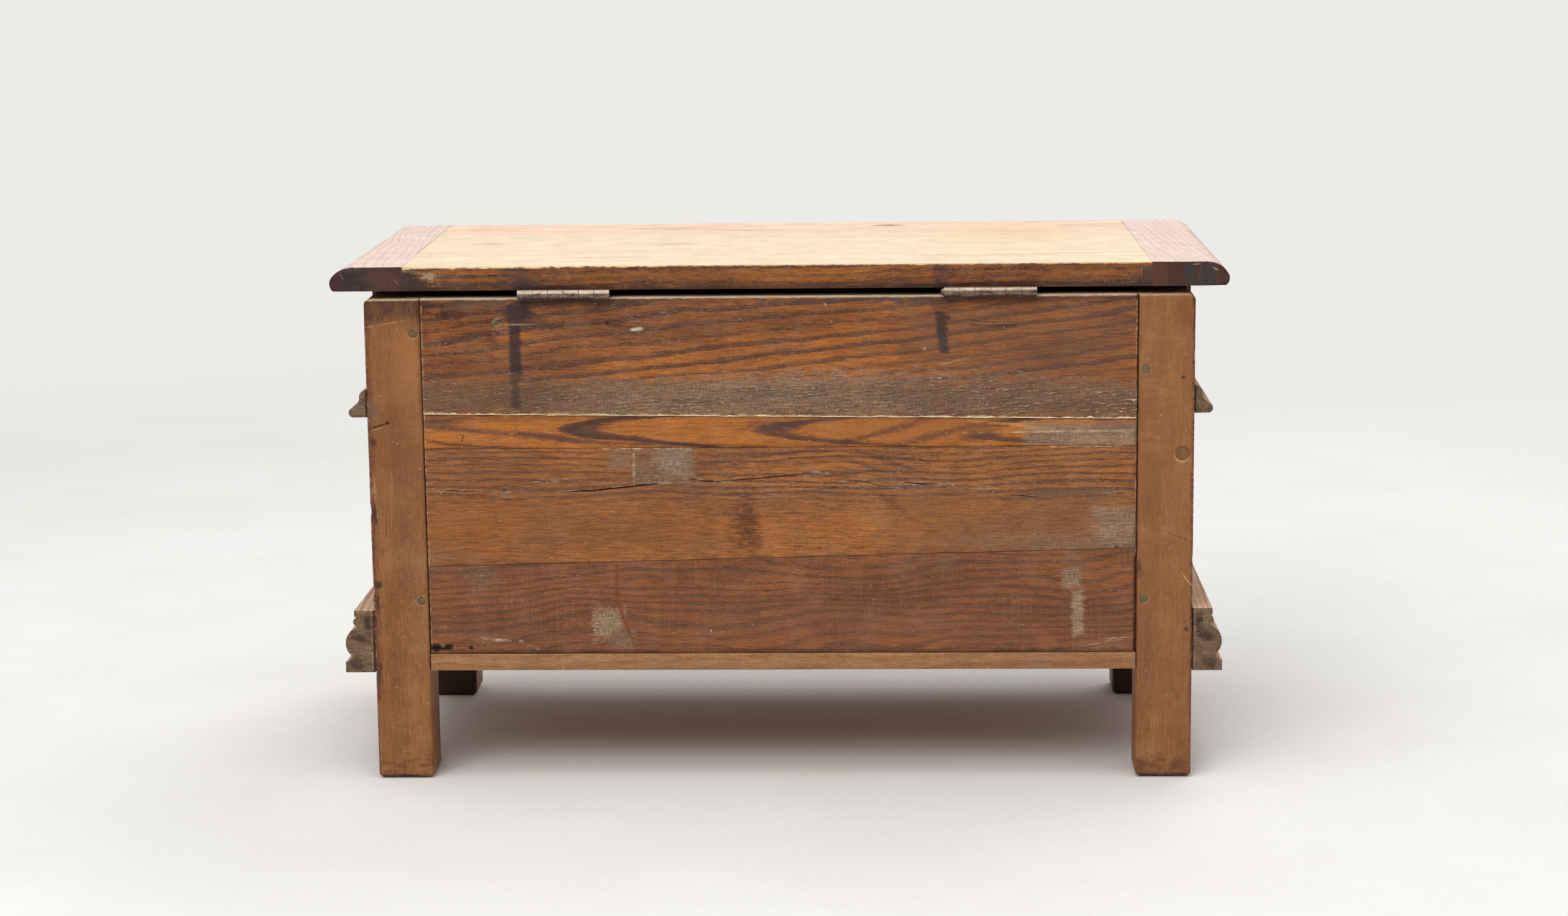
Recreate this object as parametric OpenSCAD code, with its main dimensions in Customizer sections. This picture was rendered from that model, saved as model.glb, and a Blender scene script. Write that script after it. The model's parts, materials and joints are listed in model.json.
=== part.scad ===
// A joined oak storage chest: four posts that run down into feet, tongued wall boards pegged
// into them, a bottom let in between the posts, applied mouldings, and a cleated lid that
// swings on two butt hinges laid on the lowered top edge of the back.
// Millimetres. +Z is up and -Y is the front. The origin is on the floor, under the middle of
// the chest's outline.

/* [Carcass] */
// Width of the carcass over its posts
carcass_w = 900; // [760:10:1200]
// Depth of the carcass over its posts
carcass_d = 430; // [340:10:560]
// Height of the rim of the front and sides above the floor
rim_h = 545; // [480:5:700]
// Width of a post across the chest
post_w = 61; // [54:1:80]
// Depth of a post from front to back
post_d = 62; // [54:1:80]
// Radius of the worn edges of a post
post_edge_r = 3.5; // [2:0.5:5]
// Chamfer round the foot of a post
foot_chamfer = 5; // [2:0.5:8]
// Radius of the outer edge of the rim at the sides
side_rim_r = 8; // [4:0.5:12]
// Radius of the outer edge of the rim at the front and the back
rim_edge_r = 3; // [1:0.5:5]

/* [Wall boards] */
// Thickness of a wall board
wall_t = 22; // [20:0.5:28]
// Thickness of the tongue on the end of a wall board
tongue_t = 8; // [6:0.5:10]
// Length of the tongue on the end of a wall board
tongue_l = 18; // [14:0.5:20]
// Gap between the end of a wall board and the post
wall_end_gap = 0.8; // [0.4:0.1:2]
// How far the back boards lie in from the posts
back_inset = 1; // [0:0.5:2]
// Width of the top back board at mid length
back_top_w = 132; // [100:1:160]
// How much the top back board is wider at its left end
back_top_taper = 9; // [0:1:20]
// Width of the strip below the top back board at mid length
back_strip_w = 33.5; // [24:0.5:44]
// How much the strip is narrower at its left end
back_strip_taper = 9; // [0:1:14]
// Width of the lowest back board at mid length
back_low_w = 107; // [80:1:130]
// How much the lowest back board is wider at its left end
back_low_taper = 18; // [0:1:30]
// Width of the top board of the front
front_top_w = 138; // [100:1:170]
// Width of the lowest board of the front
front_low_w = 121; // [90:1:140]
// Width of the top board of each side
side_top_w = 129; // [100:1:160]
// Width of the lowest board of each side
side_low_w = 132; // [90:1:140]

/* [Pegs and plugs] */
// Diameter of a peg
peg_d = 9; // [6:0.5:10]
// Length of a peg
peg_l = 28; // [20:1:34]
// Distance of a peg from the inner edge of its post
peg_in = 7.5; // [6:0.5:9]
// Height of the lower pegs above the floor
peg_low_z = 202; // [170:1:230]
// Distance of the upper pegs below the top of their wall
peg_top_drop = 38.5; // [20:0.5:70]
// Distance of the upper peg of the rear left post below the top of the back
peg_rear_left_drop = 81.5; // [70:0.5:95]
// Diameter of the plug in the rear left post
plug_d = 15; // [10:0.5:20]
// Depth of the plug in the rear left post
plug_l = 7; // [4:0.5:10]
// Distance of the plug from the left face of the chest
plug_in = 13; // [12:0.5:30]
// Height of the plug above the floor
plug_z = 363; // [300:1:400]
// Diameter of the head of the screw in the top back board
back_screw_d = 12; // [8:0.5:14]
// Distance of that screw from the middle of the chest
back_screw_x = 305; // [290:1:330]
// Distance of that screw below the top of the back
back_screw_drop = 27.5; // [20:0.5:45]

/* [Bottom] */
// Height of the underside of the bottom above the floor
bottom_z = 123; // [90:1:160]
// Thickness of the bottom boards
bottom_t = 19; // [16:0.5:24]
// Length of a bottom nail
nail_l = 55; // [40:1:65]
// Diameter of a bottom nail
nail_d = 3; // [2:0.5:4]
// Diameter of the head of a bottom nail
nail_head_d = 7; // [5:0.5:9]
// Number of nails along the front and along the back
nail_long_count = 5; // [3:1:8]

/* [Lid] */
// Thickness of the lid
lid_t = 26.4; // [22:0.2:32]
// How far the lid overhangs each side
lid_side_over = 36; // [20:1:50]
// How far the lid overhangs the front
lid_front_over = 39; // [34:1:60]
// Gap between the rim and the underside of the lid
lid_seat = 0.3; // [0.2:0.1:1]
// Width of the right cleat of the lid at the back
right_cleat_w = 79.5; // [60:0.5:110]
// How much the right cleat is narrower at the front
right_cleat_taper = 8; // [0:0.5:12]
// Width of the left cleat of the lid at the back
left_cleat_w = 83.5; // [60:0.5:110]
// How much the left cleat is wider at the front
left_cleat_taper = 2; // [0:0.5:12]
// Width of the front board of the lid
lid_front_board_w = 148; // [100:1:200]
// Width of the rounded edge of the lid
lid_edge_w = 24; // [20:1:30]
// Radius of the lower part of the rounded edge of the lid
lid_nose_r = 9; // [6:0.5:10]
// Radius of the front corners of the lid, seen from above
lid_corner_r = 22; // [10:1:24]
// Length of the tongue on a cleat
cleat_tongue_l = 9; // [6:0.5:14]
// Thickness of the tongue on a cleat
cleat_tongue_t = 13; // [8:0.5:14]

/* [Hinges] */
// Length of a hinge
hinge_l = 100; // [80:1:120]
// Distance of each hinge from the middle of the chest
hinge_x = 231; // [180:1:270]
// How much nearer the middle the left hinge is
left_hinge_in = 2; // [0:0.5:10]
// Thickness of a hinge leaf
leaf_t = 2.6; // [1.8:0.1:3]
// Gap between the closed leaves of a hinge
leaf_play = 2.8; // [1.8:0.1:3.4]
// How far a leaf reaches in from the back of the chest
leaf_in = 21; // [18:0.5:22]
// Radius of the hinge pin
pin_r = 2.8; // [2:0.1:3]
// Radius of the hinge knuckles
knuckle_r = 5.5; // [4.8:0.1:6]
// Number of knuckles, half of them on each leaf
knuckle_count = 6; // [4:2:8]
// Radius of the round head of the left hinge's pin
pin_head_r = 4.3; // [3.5:0.1:4.5]
// Height of that head
pin_head_h = 3.6; // [2:0.1:4]
// Number of screws in a leaf
leaf_screws = 4; // [2:1:4]
// Length of a hinge screw
screw_l = 20; // [14:1:22]
// Radius of the shank of a hinge screw
screw_r = 2.2; // [1.6:0.1:2.5]
// Radius of the head of a hinge screw
screw_head_r = 4.2; // [3.4:0.1:4.6]

/* [Base moulding] */
// Height of the base moulding
base_h = 70; // [66:0.5:80]
// How far the base moulding stands out from the chest
base_out = 33; // [29:0.5:35]
// Height of the underside of the base moulding above the floor
base_z = 121; // [80:1:130]
// Height of the flat at the foot of the base moulding
base_foot_h = 12; // [8:0.5:16]
// Radius of the big roll of the base moulding
base_roll_r = 18.8; // [16:0.1:20]
// Radius of the small bead of the base moulding
base_bead_r = 4.6; // [3:0.1:5]
// Height of the flat at the top of the base moulding
base_top_h = 7; // [5:0.5:10]
// How far that flat stands out from the chest
base_top_out = 22; // [19:0.5:24]

/* [Waist moulding] */
// Height of the waist moulding
waist_h = 30.5; // [28:0.5:40]
// How far the waist moulding stands out from the chest
waist_out = 20; // [18:0.5:26]
// Distance from the rim down to the underside of the waist moulding
waist_drop = 138; // [110:1:165]
// Radius of the nose of the waist moulding
waist_nose_r = 5.3; // [4:0.1:6]
// Radius of the round top of the waist moulding
waist_top_r = 8; // [6:0.5:9]
// Distance from the back of the chest to the cut ends of the mouldings
mould_end_in = 1; // [0:0.5:6]

/* [Hidden] */
$fn = 48;
// Number of bottom boards from back to front
bottom_count = 3;
// Clearance round pegs, screws and nails, and round tongues in their grooves
fit_gap = 0.1;
groove_gap = 0.2;
bore_gap = 0.05;
// Clearance between a turning knuckle and what is next to it
knuckle_gap = 0.4;
// Gap between the wall boards and the bottom they stand on
wall_seat = 0.3;
// Overshoot of a cut past the face it leaves
over = 1;

lid_under = rim_h + lid_seat;
back_top = lid_under - 2 * leaf_t - leaf_play;
wall_low = bottom_z + bottom_t + wall_seat;
waist_z = rim_h - waist_drop;
hinge_off = knuckle_r + knuckle_gap / 2;
hinge_reach = hinge_off + knuckle_r;

// The outline runs from the front of the lid to the back of the hinge knuckles
rear_y = (carcass_d + lid_front_over + hinge_reach) / 2 - hinge_reach;
front_y = rear_y - carcass_d;
middle_y = (rear_y + front_y) / 2;
half_w = carcass_w / 2;
hinge_axis_y = rear_y + hinge_off;
hinge_axis_z = (lid_under + back_top) / 2;

long_wall_l = carcass_w - 2 * post_w - 2 * wall_end_gap;
side_wall_l = carcass_d - 2 * post_d - 2 * wall_end_gap;

bottom_board_d = carcass_d / bottom_count;

lid_w = carcass_w + 2 * lid_side_over;
lid_front_y = front_y - lid_front_over;
lid_joint_y = lid_front_y + lid_front_board_w;

knuckle_pitch = hinge_l / knuckle_count;
leaf_reach = leaf_in + hinge_off;

// Heights of a joint between two back boards, at the left end and at the right end
back_joint_1 = (back_top - back_top_w) * [1, 1] + back_top_taper / 2 * [-1, 1];
back_joint_2 = back_joint_1 - back_strip_w * [1, 1] + back_strip_taper / 2 * [1, -1];
back_joint_3 = (wall_low + back_low_w) * [1, 1] + back_low_taper / 2 * [1, -1];

// Peg heights of a wall: those at its first end, then those at its second end
back_pegs_z = [[peg_low_z, back_top - peg_rear_left_drop], [peg_low_z, back_top - peg_top_drop]];
rim_pegs_z = [for (end = [0, 1]) [peg_low_z, rim_h - peg_top_drop]];

// Places on the four walls. A wall's own x runs along it, its y runs in from the face of the
// posts, and its z is the height above the floor.
module on_back() { translate([0, rear_y, 0]) mirror([0, 1, 0]) children(); }
module on_front() { translate([0, front_y, 0]) children(); }
module on_left() { translate([-half_w, middle_y, 0]) rotate([0, 0, -90]) children(); }
module on_right() { translate([half_w, middle_y, 0]) rotate([0, 0, 90]) children(); }

// Rectangle from the origin with four round corners
module round_rect(w, d, r) {
    translate([r, 0]) square([w - 2 * r, d]);
    translate([0, r]) square([w, d - 2 * r]);
    for (x = [r, w - r], y = [r, d - r]) translate([x, y]) circle(r);
}

// What is cut from a corner at the origin to round it to radius r. The solid lies up and right.
module corner_cut(r) {
    difference() {
        translate([-over, -over]) square(r + over);
        translate([r, r]) circle(r);
    }
}

// Outline of a post seen from one side, with its outer face at x = 0
module post_outline(w, top, top_r) {
    difference() {
        polygon([[foot_chamfer, 0], [w - foot_chamfer, 0], [w, foot_chamfer], [w, top],
            [0, top], [0, foot_chamfer]]);
        translate([0, top]) mirror([0, 1]) corner_cut(top_r);
    }
}

// A post with its outer corner at the origin, before it is grooved and bored
module post_blank(top) {
    intersection() {
        linear_extrude(top) round_rect(post_w, post_d, post_edge_r);
        translate([0, post_d, 0]) rotate([90, 0, 0])
            linear_extrude(post_d) post_outline(post_w, top, side_rim_r);
        rotate([90, 0, 90]) linear_extrude(post_w) post_outline(post_d, top, rim_edge_r);
    }
}

// Both grooves that take the tongues of one wall
module wall_grooves(length, inset) {
    groove_l = tongue_l + groove_gap + wall_end_gap;
    groove_y = inset + (wall_t - tongue_t) / 2 - groove_gap;
    for (side = [0, 1]) mirror([side, 0, 0])
        translate([length / 2 - over, groove_y, wall_low - wall_seat])
            cube([groove_l + over, tongue_t + 2 * groove_gap, rim_h]);
}

// Pegs of one wall, driven through the posts and the tongues between them
module wall_pegs(length, heights, gap = 0) {
    peg_x = length / 2 + wall_end_gap + peg_in;
    for (end = [0, 1], z = heights[end])
        translate([(2 * end - 1) * peg_x, -gap, z])
            rotate([-90, 0, 0]) cylinder(d = peg_d + 2 * gap, h = peg_l + 2 * gap);
}

module all_grooves() {
    on_back() wall_grooves(long_wall_l, back_inset);
    on_front() wall_grooves(long_wall_l, 0);
    on_left() wall_grooves(side_wall_l, 0);
    on_right() wall_grooves(side_wall_l, 0);
}

module all_pegs(gap = 0) {
    on_back() wall_pegs(long_wall_l, back_pegs_z, gap);
    on_front() wall_pegs(long_wall_l, rim_pegs_z, gap);
    on_left() wall_pegs(side_wall_l, rim_pegs_z, gap);
    on_right() wall_pegs(side_wall_l, rim_pegs_z, gap);
}

// Wooden plug set in the back face of the rear left post
module plug(gap = 0) {
    translate([-half_w + plug_in, rear_y, plug_z])
        rotate([90, 0, 0]) cylinder(d = plug_d + 2 * gap, h = plug_l + gap);
}

module post(side, rear) {
    top = rear ? back_top : rim_h;
    color("saddlebrown")
    difference() {
        translate([side * half_w, rear ? rear_y : front_y, 0])
            mirror([side > 0 ? 1 : 0, 0, 0]) mirror([0, rear ? 1 : 0, 0]) post_blank(top);
        all_grooves();
        all_pegs(fit_gap);
        if (rear && side < 0) plug(fit_gap);
    }
}

// A board between two posts, on its wall. low and high are its edges at the first end and at
// the second end, and the tongues stop at tongue_top.
module wall_board(length, low, high, inset = 0, top_r = 0, tongue_tops = [0, 0]) {
    tongue_reach = wall_end_gap + tongue_l;
    difference() {
        translate([0, inset + wall_t, 0]) rotate([90, 0, 0]) linear_extrude(wall_t)
            polygon([[-length / 2, low[0]], [length / 2, low[1]],
                [length / 2, high[1]], [-length / 2, high[0]]]);
        if (top_r > 0)
            translate([-length / 2 - over, inset, high[0]])
                rotate([90, 0, 90]) mirror([0, 1])
                    linear_extrude(length + 2 * over) corner_cut(top_r);
    }
    translate([0, inset + (wall_t + tongue_t) / 2, 0]) rotate([90, 0, 0]) linear_extrude(tongue_t)
        for (end = [0, 1]) {
            tongue_top = tongue_tops[end] > 0 ? tongue_tops[end] : high[end];
            translate([(2 * end - 1) * (length + tongue_reach) / 2 - tongue_reach / 2, low[end]])
                square([tongue_reach, tongue_top - low[end]]);
        }
}

// Screw set in the face of the top back board, its round head flush with the board
module back_screw_body(gap = 0) {
    head_h = back_screw_d / 4;
    shank_l = wall_t * 0.6;
    translate([back_screw_x, rear_y - back_inset + gap, back_top - back_screw_drop])
        rotate([90, 0, 0]) {
            cylinder(d = back_screw_d + 2 * gap, h = head_h + gap);
            cylinder(r = screw_r + gap, h = head_h + shank_l + 2 * gap);
        }
}

module back_board(number) {
    joints = [[back_top, back_top], back_joint_1, back_joint_2, back_joint_3, [wall_low, wall_low]];
    color("sienna")
    difference() {
        on_back() wall_board(long_wall_l, joints[number], joints[number - 1], back_inset,
            number == 1 ? rim_edge_r : 0);
        on_back() wall_pegs(long_wall_l, back_pegs_z, fit_gap);
        if (number == 1) {
            back_screw_body(fit_gap);
            for (side = [-1, 1]) at_hinge(side) leaf_screw_set(-1, fit_gap);
        }
        if (number == 4) bottom_nail_set(fit_gap);
    }
}

module front_board(number) {
    joints = [rim_h, rim_h - front_top_w, wall_low + front_low_w, wall_low];
    color("sienna")
    difference() {
        on_front() wall_board(long_wall_l, joints[number] * [1, 1], joints[number - 1] * [1, 1], 0,
            number == 1 ? rim_edge_r : 0);
        on_front() wall_pegs(long_wall_l, rim_pegs_z, fit_gap);
        if (number == 3) bottom_nail_set(fit_gap);
    }
}

// The tongue at the rear end of a side board stops at the lower top of the rear post
module side_board(number, left) {
    joints = [rim_h, rim_h - side_top_w, wall_low + side_low_w, wall_low];
    tongue_tops = left ? [back_top, rim_h] : [rim_h, back_top];
    color("sienna")
    difference() {
        if (left)
            on_left() side_board_blank(number, joints, tongue_tops);
        else
            on_right() side_board_blank(number, joints, tongue_tops);
        if (left)
            on_left() wall_pegs(side_wall_l, rim_pegs_z, fit_gap);
        else
            on_right() wall_pegs(side_wall_l, rim_pegs_z, fit_gap);
        if (number == 3) bottom_nail_set(fit_gap);
    }
}

module side_board_blank(number, joints, tongue_tops) {
    wall_board(side_wall_l, joints[number] * [1, 1], joints[number - 1] * [1, 1], 0,
        number == 1 ? side_rim_r : 0, number == 1 ? tongue_tops : [0, 0]);
}

// One bottom board. The rear and front ones are notched round the posts.
module bottom_board(index) {
    notch_w = post_w + wall_end_gap;
    notch_d = post_d + wall_end_gap;
    color("peru")
    difference() {
        translate([-half_w, rear_y - (index + 1) * bottom_board_d, bottom_z])
            cube([carcass_w, bottom_board_d, bottom_t]);
        for (x = [-half_w - over, half_w - notch_w], y = [front_y - over, rear_y - notch_d])
            translate([x, y, bottom_z - over])
                cube([notch_w + over, notch_d + over, bottom_t + 2 * over]);
        bottom_nail_set(fit_gap);
    }
}

// Middle of the part of a bottom board that lies below the side walls, from front to back
function bottom_mid(index) = (max(front_y + post_d, rear_y - (index + 1) * bottom_board_d)
    + min(rear_y - post_d, rear_y - index * bottom_board_d)) / 2;

// Places of the nails that go up through the bottom into the wall boards
function nail_places() = concat(
    [for (i = [0 : nail_long_count - 1], y = [front_y + wall_t / 2, rear_y - back_inset - wall_t / 2])
        [(i - (nail_long_count - 1) / 2) * long_wall_l / nail_long_count, y]],
    [for (side = [-1, 1], index = [0 : bottom_count - 1])
        [side * (half_w - wall_t / 2), bottom_mid(index)]]);

module bottom_nail_set(gap = 0) {
    head_h = 1.5;
    for (place = nail_places())
        translate([place[0], place[1], bottom_z - gap]) {
            cylinder(d = nail_d + 2 * gap, h = nail_l + 2 * gap);
            cylinder(d = nail_head_d + 2 * gap, h = head_h + 2 * gap);
        }
}

// Section of the base moulding: x stands out from the wall, y is up
module base_section() {
    neck_out = base_top_out - 2.5;
    cove_r = 6.5;
    roll = [base_out - 0.6 - base_roll_r, base_foot_h + base_roll_r + 2.2];
    bead = [base_top_out + 1.3 - base_bead_r, base_h - base_top_h - base_bead_r - 1.2];
    square([neck_out, base_h]);
    square([base_out, base_foot_h]);
    difference() {
        translate([0, base_foot_h - over]) square([base_out, cove_r + over]);
        translate([base_out, base_foot_h + cove_r]) circle(cove_r);
    }
    intersection() {
        translate(roll) circle(base_roll_r);
        square([base_out, base_h]);
    }
    square([base_out - cove_r, roll[1]]);
    translate(bead) circle(base_bead_r);
    translate([0, base_h - base_top_h]) square([base_top_out, base_top_h]);
}

// Section of the waist moulding: a round nose below a cove, with a round top
module waist_section() {
    cove_r = waist_h - 2 * waist_nose_r - waist_top_r;
    difference() {
        union() {
            square([waist_out - waist_nose_r, 2 * waist_nose_r]);
            translate([waist_out - waist_nose_r, waist_nose_r]) circle(waist_nose_r);
            square([waist_out - waist_nose_r, waist_h - waist_top_r]);
            intersection() {
                translate([0, waist_h - waist_top_r]) circle(waist_top_r);
                square([waist_top_r, waist_h]);
            }
        }
        translate([waist_top_r + cove_r, waist_h - waist_top_r]) circle(cove_r);
    }
}

// A moulding along the front, mitred at both ends
module front_run(out, height, z) {
    color("rosybrown")
    intersection() {
        translate([-half_w - out, front_y, z]) rotate([90, 0, 90]) mirror([1, 0])
            linear_extrude(carcass_w + 2 * out) children();
        translate([0, 0, z]) linear_extrude(height)
            polygon([[-half_w, front_y], [half_w, front_y],
                [half_w + out, front_y - out], [-half_w - out, front_y - out]]);
    }
}

// A moulding along one side, mitred at the front and cut square at the back
module side_run(out, height, z, side) {
    rear_end = rear_y - mould_end_in;
    color("rosybrown")
    mirror([side > 0 ? 0 : 1, 0, 0])
    intersection() {
        translate([half_w, rear_end, z]) rotate([90, 0, 0])
            linear_extrude(rear_end - front_y + out) children();
        translate([0, 0, z]) linear_extrude(height)
            polygon([[half_w, front_y], [half_w + out, front_y - out],
                [half_w + out, rear_end], [half_w, rear_end]]);
    }
}

// Rounded edge of the lid in section, with its outermost point at x = 0: a large arc from the
// top runs smoothly into a smaller arc to the underside
module lid_edge_section(width) {
    big_r = (pow(lid_edge_w - lid_nose_r, 2) + pow(lid_t - lid_nose_r, 2) - pow(lid_nose_r, 2))
        / (2 * (lid_t - 2 * lid_nose_r));
    slope = atan2(lid_nose_r + big_r - lid_t, lid_edge_w - lid_nose_r);
    meet_z = lid_nose_r + lid_nose_r * sin(slope);
    intersection() {
        translate([lid_edge_w, lid_t - big_r]) circle(big_r, $fn = 96);
        translate([0, meet_z]) square([lid_edge_w, lid_t - meet_z]);
    }
    intersection() {
        translate([lid_nose_r, lid_nose_r]) circle(lid_nose_r);
        square([lid_nose_r, meet_z]);
    }
    translate([lid_nose_r, 0]) square([lid_edge_w - lid_nose_r, meet_z]);
    translate([lid_edge_w, 0]) square([width - lid_edge_w, lid_t]);
}

// The whole lid before it is divided into its boards and cleats
module lid_blank() {
    lid_d = rear_y - lid_front_y;
    intersection() {
        translate([0, rear_y, lid_under]) rotate([90, 0, 0]) linear_extrude(lid_d)
            for (side = [0, 1]) mirror([side, 0])
                translate([-lid_w / 2, 0]) lid_edge_section(lid_w / 2);
        translate([-lid_w / 2, lid_front_y, lid_under]) rotate([90, 0, 90])
            linear_extrude(lid_w) lid_edge_section(lid_d);
        translate([0, 0, lid_under]) linear_extrude(lid_t)
            difference() {
                translate([-lid_w / 2, lid_front_y]) square([lid_w, lid_d]);
                for (side = [0, 1]) mirror([side, 0])
                    translate([-lid_w / 2, lid_front_y]) corner_cut(lid_corner_r);
            }
    }
}

// Distance of a cleat's joint from the middle of the lid, at the back and at the front
function cleat_joint(side) = side > 0
    ? [lid_w / 2 - right_cleat_w, lid_w / 2 - right_cleat_w + right_cleat_taper]
    : [lid_w / 2 - left_cleat_w, lid_w / 2 - left_cleat_w - left_cleat_taper];

// All the space at one end of the lid from a line that lies reach inside the cleat's joint
module lid_end(side, reach, low, height) {
    joint = cleat_joint(side);
    translate([0, 0, lid_under + low]) linear_extrude(height) mirror([side > 0 ? 0 : 1, 0])
        polygon([[joint[0] - reach, rear_y + over], [lid_w / 2 + over, rear_y + over],
            [lid_w / 2 + over, lid_front_y - over], [joint[1] - reach, lid_front_y - over]]);
}

// Space of the tongue of the cleat at one end of the lid
module cleat_tongue(side, gap = 0) {
    lid_end(side, cleat_tongue_l + gap, (lid_t - cleat_tongue_t) / 2 - gap, cleat_tongue_t + 2 * gap);
}

module lid_board(y_low, y_high) {
    color("burlywood")
    difference() {
        intersection() {
            lid_blank();
            translate([-lid_w / 2, y_low, lid_under - over])
                cube([lid_w, y_high - y_low, lid_t + 2 * over]);
        }
        for (side = [-1, 1]) {
            lid_end(side, 0, -over, lid_t + 2 * over);
            cleat_tongue(side, groove_gap);
            at_hinge(side) leaf_screw_set(1, fit_gap);
        }
    }
}

module lid_cleat(side) {
    color("rosybrown")
    intersection() {
        lid_blank();
        union() {
            lid_end(side, 0, -over, lid_t + 2 * over);
            cleat_tongue(side);
        }
    }
}

// A hinge's own place: its axis lies along x, and z is up
module at_hinge(side) {
    translate([side > 0 ? hinge_x : left_hinge_in - hinge_x, hinge_axis_y, hinge_axis_z]) children();
}

function knuckle_start(index) = hinge_l / 2 - (index + 1) * knuckle_pitch;

// Knuckles of one leaf: the first, third and so on are the lid's, counted from the right
module knuckles(first) {
    for (index = [first : 2 : knuckle_count - 1])
        translate([knuckle_start(index) + knuckle_gap / 2, 0, 0]) rotate([0, 90, 0])
            cylinder(r = knuckle_r, h = knuckle_pitch - knuckle_gap);
}

function leaf_screw_x(index) = (index - (leaf_screws - 1) / 2) * hinge_l / leaf_screws;

// Screws of one leaf. up is 1 for the lid's leaf and -1 for the carcass's leaf.
module leaf_screw_set(up, gap = 0) {
    row_y = -hinge_off - leaf_in / 2;
    stagger = 2.5;
    head_h = leaf_t - 0.2;
    for (index = [0 : leaf_screws - 1])
        translate([leaf_screw_x(index), row_y + (index % 2 == 0 ? stagger : -stagger), 0])
            mirror([0, 0, up > 0 ? 0 : 1]) translate([0, 0, leaf_play / 2 + 0.1 - gap]) {
                cylinder(r = screw_r + gap, h = screw_l + 2 * gap);
                cylinder(r1 = screw_head_r + gap, r2 = screw_r + gap, h = head_h + gap);
            }
}

// One leaf of a hinge with its knuckles
module leaf(up) {
    own = up > 0 ? 0 : 1;
    other = 1 - own;
    low = up > 0 ? leaf_play / 2 : -leaf_play / 2 - leaf_t;
    color("dimgray")
    difference() {
        union() {
            difference() {
                translate([-hinge_l / 2 + knuckle_gap / 2, -leaf_reach, low])
                    cube([hinge_l - knuckle_gap, leaf_reach, leaf_t]);
                for (index = [other : 2 : knuckle_count - 1])
                    translate([knuckle_start(index) - knuckle_gap / 2, -knuckle_r - knuckle_gap, -knuckle_r])
                        cube([knuckle_pitch + knuckle_gap, 2 * knuckle_r, 2 * knuckle_r]);
            }
            knuckles(own);
        }
        translate([-hinge_l / 2 - over, 0, 0]) rotate([0, 90, 0])
            cylinder(r = pin_r + bore_gap, h = hinge_l + 2 * over);
        leaf_screw_set(up, fit_gap);
    }
}

// Hinge pin. The left hinge's pin has a round head at its right end.
module hinge_pin(headed) {
    color("gray") {
        translate([-hinge_l / 2, 0, 0]) rotate([0, 90, 0]) cylinder(r = pin_r, h = hinge_l);
        if (headed) {
            dome_r = (pin_head_r * pin_head_r + pin_head_h * pin_head_h) / (2 * pin_head_h);
            intersection() {
                translate([hinge_l / 2 + pin_head_h - dome_r, 0, 0]) sphere(dome_r);
                translate([hinge_l / 2, 0, 0]) rotate([0, 90, 0])
                    cylinder(r = pin_head_r, h = pin_head_h + over);
            }
        }
    }
}

module leaf_screws_both(up) {
    color("gray") for (side = [-1, 1]) at_hinge(side) leaf_screw_set(up);
}

module base_moulding_front() { front_run(base_out, base_h, base_z) base_section(); }
module base_moulding_end(side) { side_run(base_out, base_h, base_z, side) base_section(); }
module waist_moulding_front() { front_run(waist_out, waist_h, waist_z) waist_section(); }
module waist_moulding_end(side) { side_run(waist_out, waist_h, waist_z, side) waist_section(); }

module back_pegs() { color("tan") on_back() wall_pegs(long_wall_l, back_pegs_z); }
module front_pegs() { color("tan") on_front() wall_pegs(long_wall_l, rim_pegs_z); }
module left_pegs() { color("tan") on_left() wall_pegs(side_wall_l, rim_pegs_z); }
module right_pegs() { color("tan") on_right() wall_pegs(side_wall_l, rim_pegs_z); }

module post_plug() { color("sienna") plug(); }
module back_screw() { color("gray") back_screw_body(); }
module bottom_nails() { color("dimgray") bottom_nail_set(); }

post(-1, true);  // rear_left_post
post(1, true);  // rear_right_post
post(-1, false);  // front_left_post
post(1, false);  // front_right_post
back_board(1);  // back_board_1
back_board(2);  // back_board_2
back_board(3);  // back_board_3
back_board(4);  // back_board_4
front_board(1);  // front_board_1
front_board(2);  // front_board_2
front_board(3);  // front_board_3
side_board(1, true);  // left_board_1
side_board(2, true);  // left_board_2
side_board(3, true);  // left_board_3
side_board(1, false);  // right_board_1
side_board(2, false);  // right_board_2
side_board(3, false);  // right_board_3
bottom_board(0);  // bottom_board_rear
bottom_board(1);  // bottom_board_middle
bottom_board(2);  // bottom_board_front
base_moulding_front();
base_moulding_end(-1);  // base_moulding_left
base_moulding_end(1);  // base_moulding_right
waist_moulding_front();
waist_moulding_end(-1);  // waist_moulding_left
waist_moulding_end(1);  // waist_moulding_right
back_pegs();
front_pegs();
left_pegs();
right_pegs();
post_plug();
back_screw();
bottom_nails();
at_hinge(-1) leaf(-1);  // left_hinge_body_leaf
at_hinge(1) leaf(-1);  // right_hinge_body_leaf
at_hinge(-1) hinge_pin(true);  // left_hinge_pin
at_hinge(1) hinge_pin(false);  // right_hinge_pin
leaf_screws_both(-1);  // body_leaf_screws
lid_board(lid_joint_y, rear_y);  // lid_rear_board
lid_board(lid_front_y, lid_joint_y);  // lid_front_board
lid_cleat(-1);  // lid_left_cleat
lid_cleat(1);  // lid_right_cleat
at_hinge(-1) leaf(1);  // left_hinge_lid_leaf
at_hinge(1) leaf(1);  // right_hinge_lid_leaf
leaf_screws_both(1);  // lid_leaf_screws
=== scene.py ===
import json
import math
from collections import namedtuple
from functools import partial, partialmethod
import bmesh
import bpy
from mathutils import Matrix, Vector, noise

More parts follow.
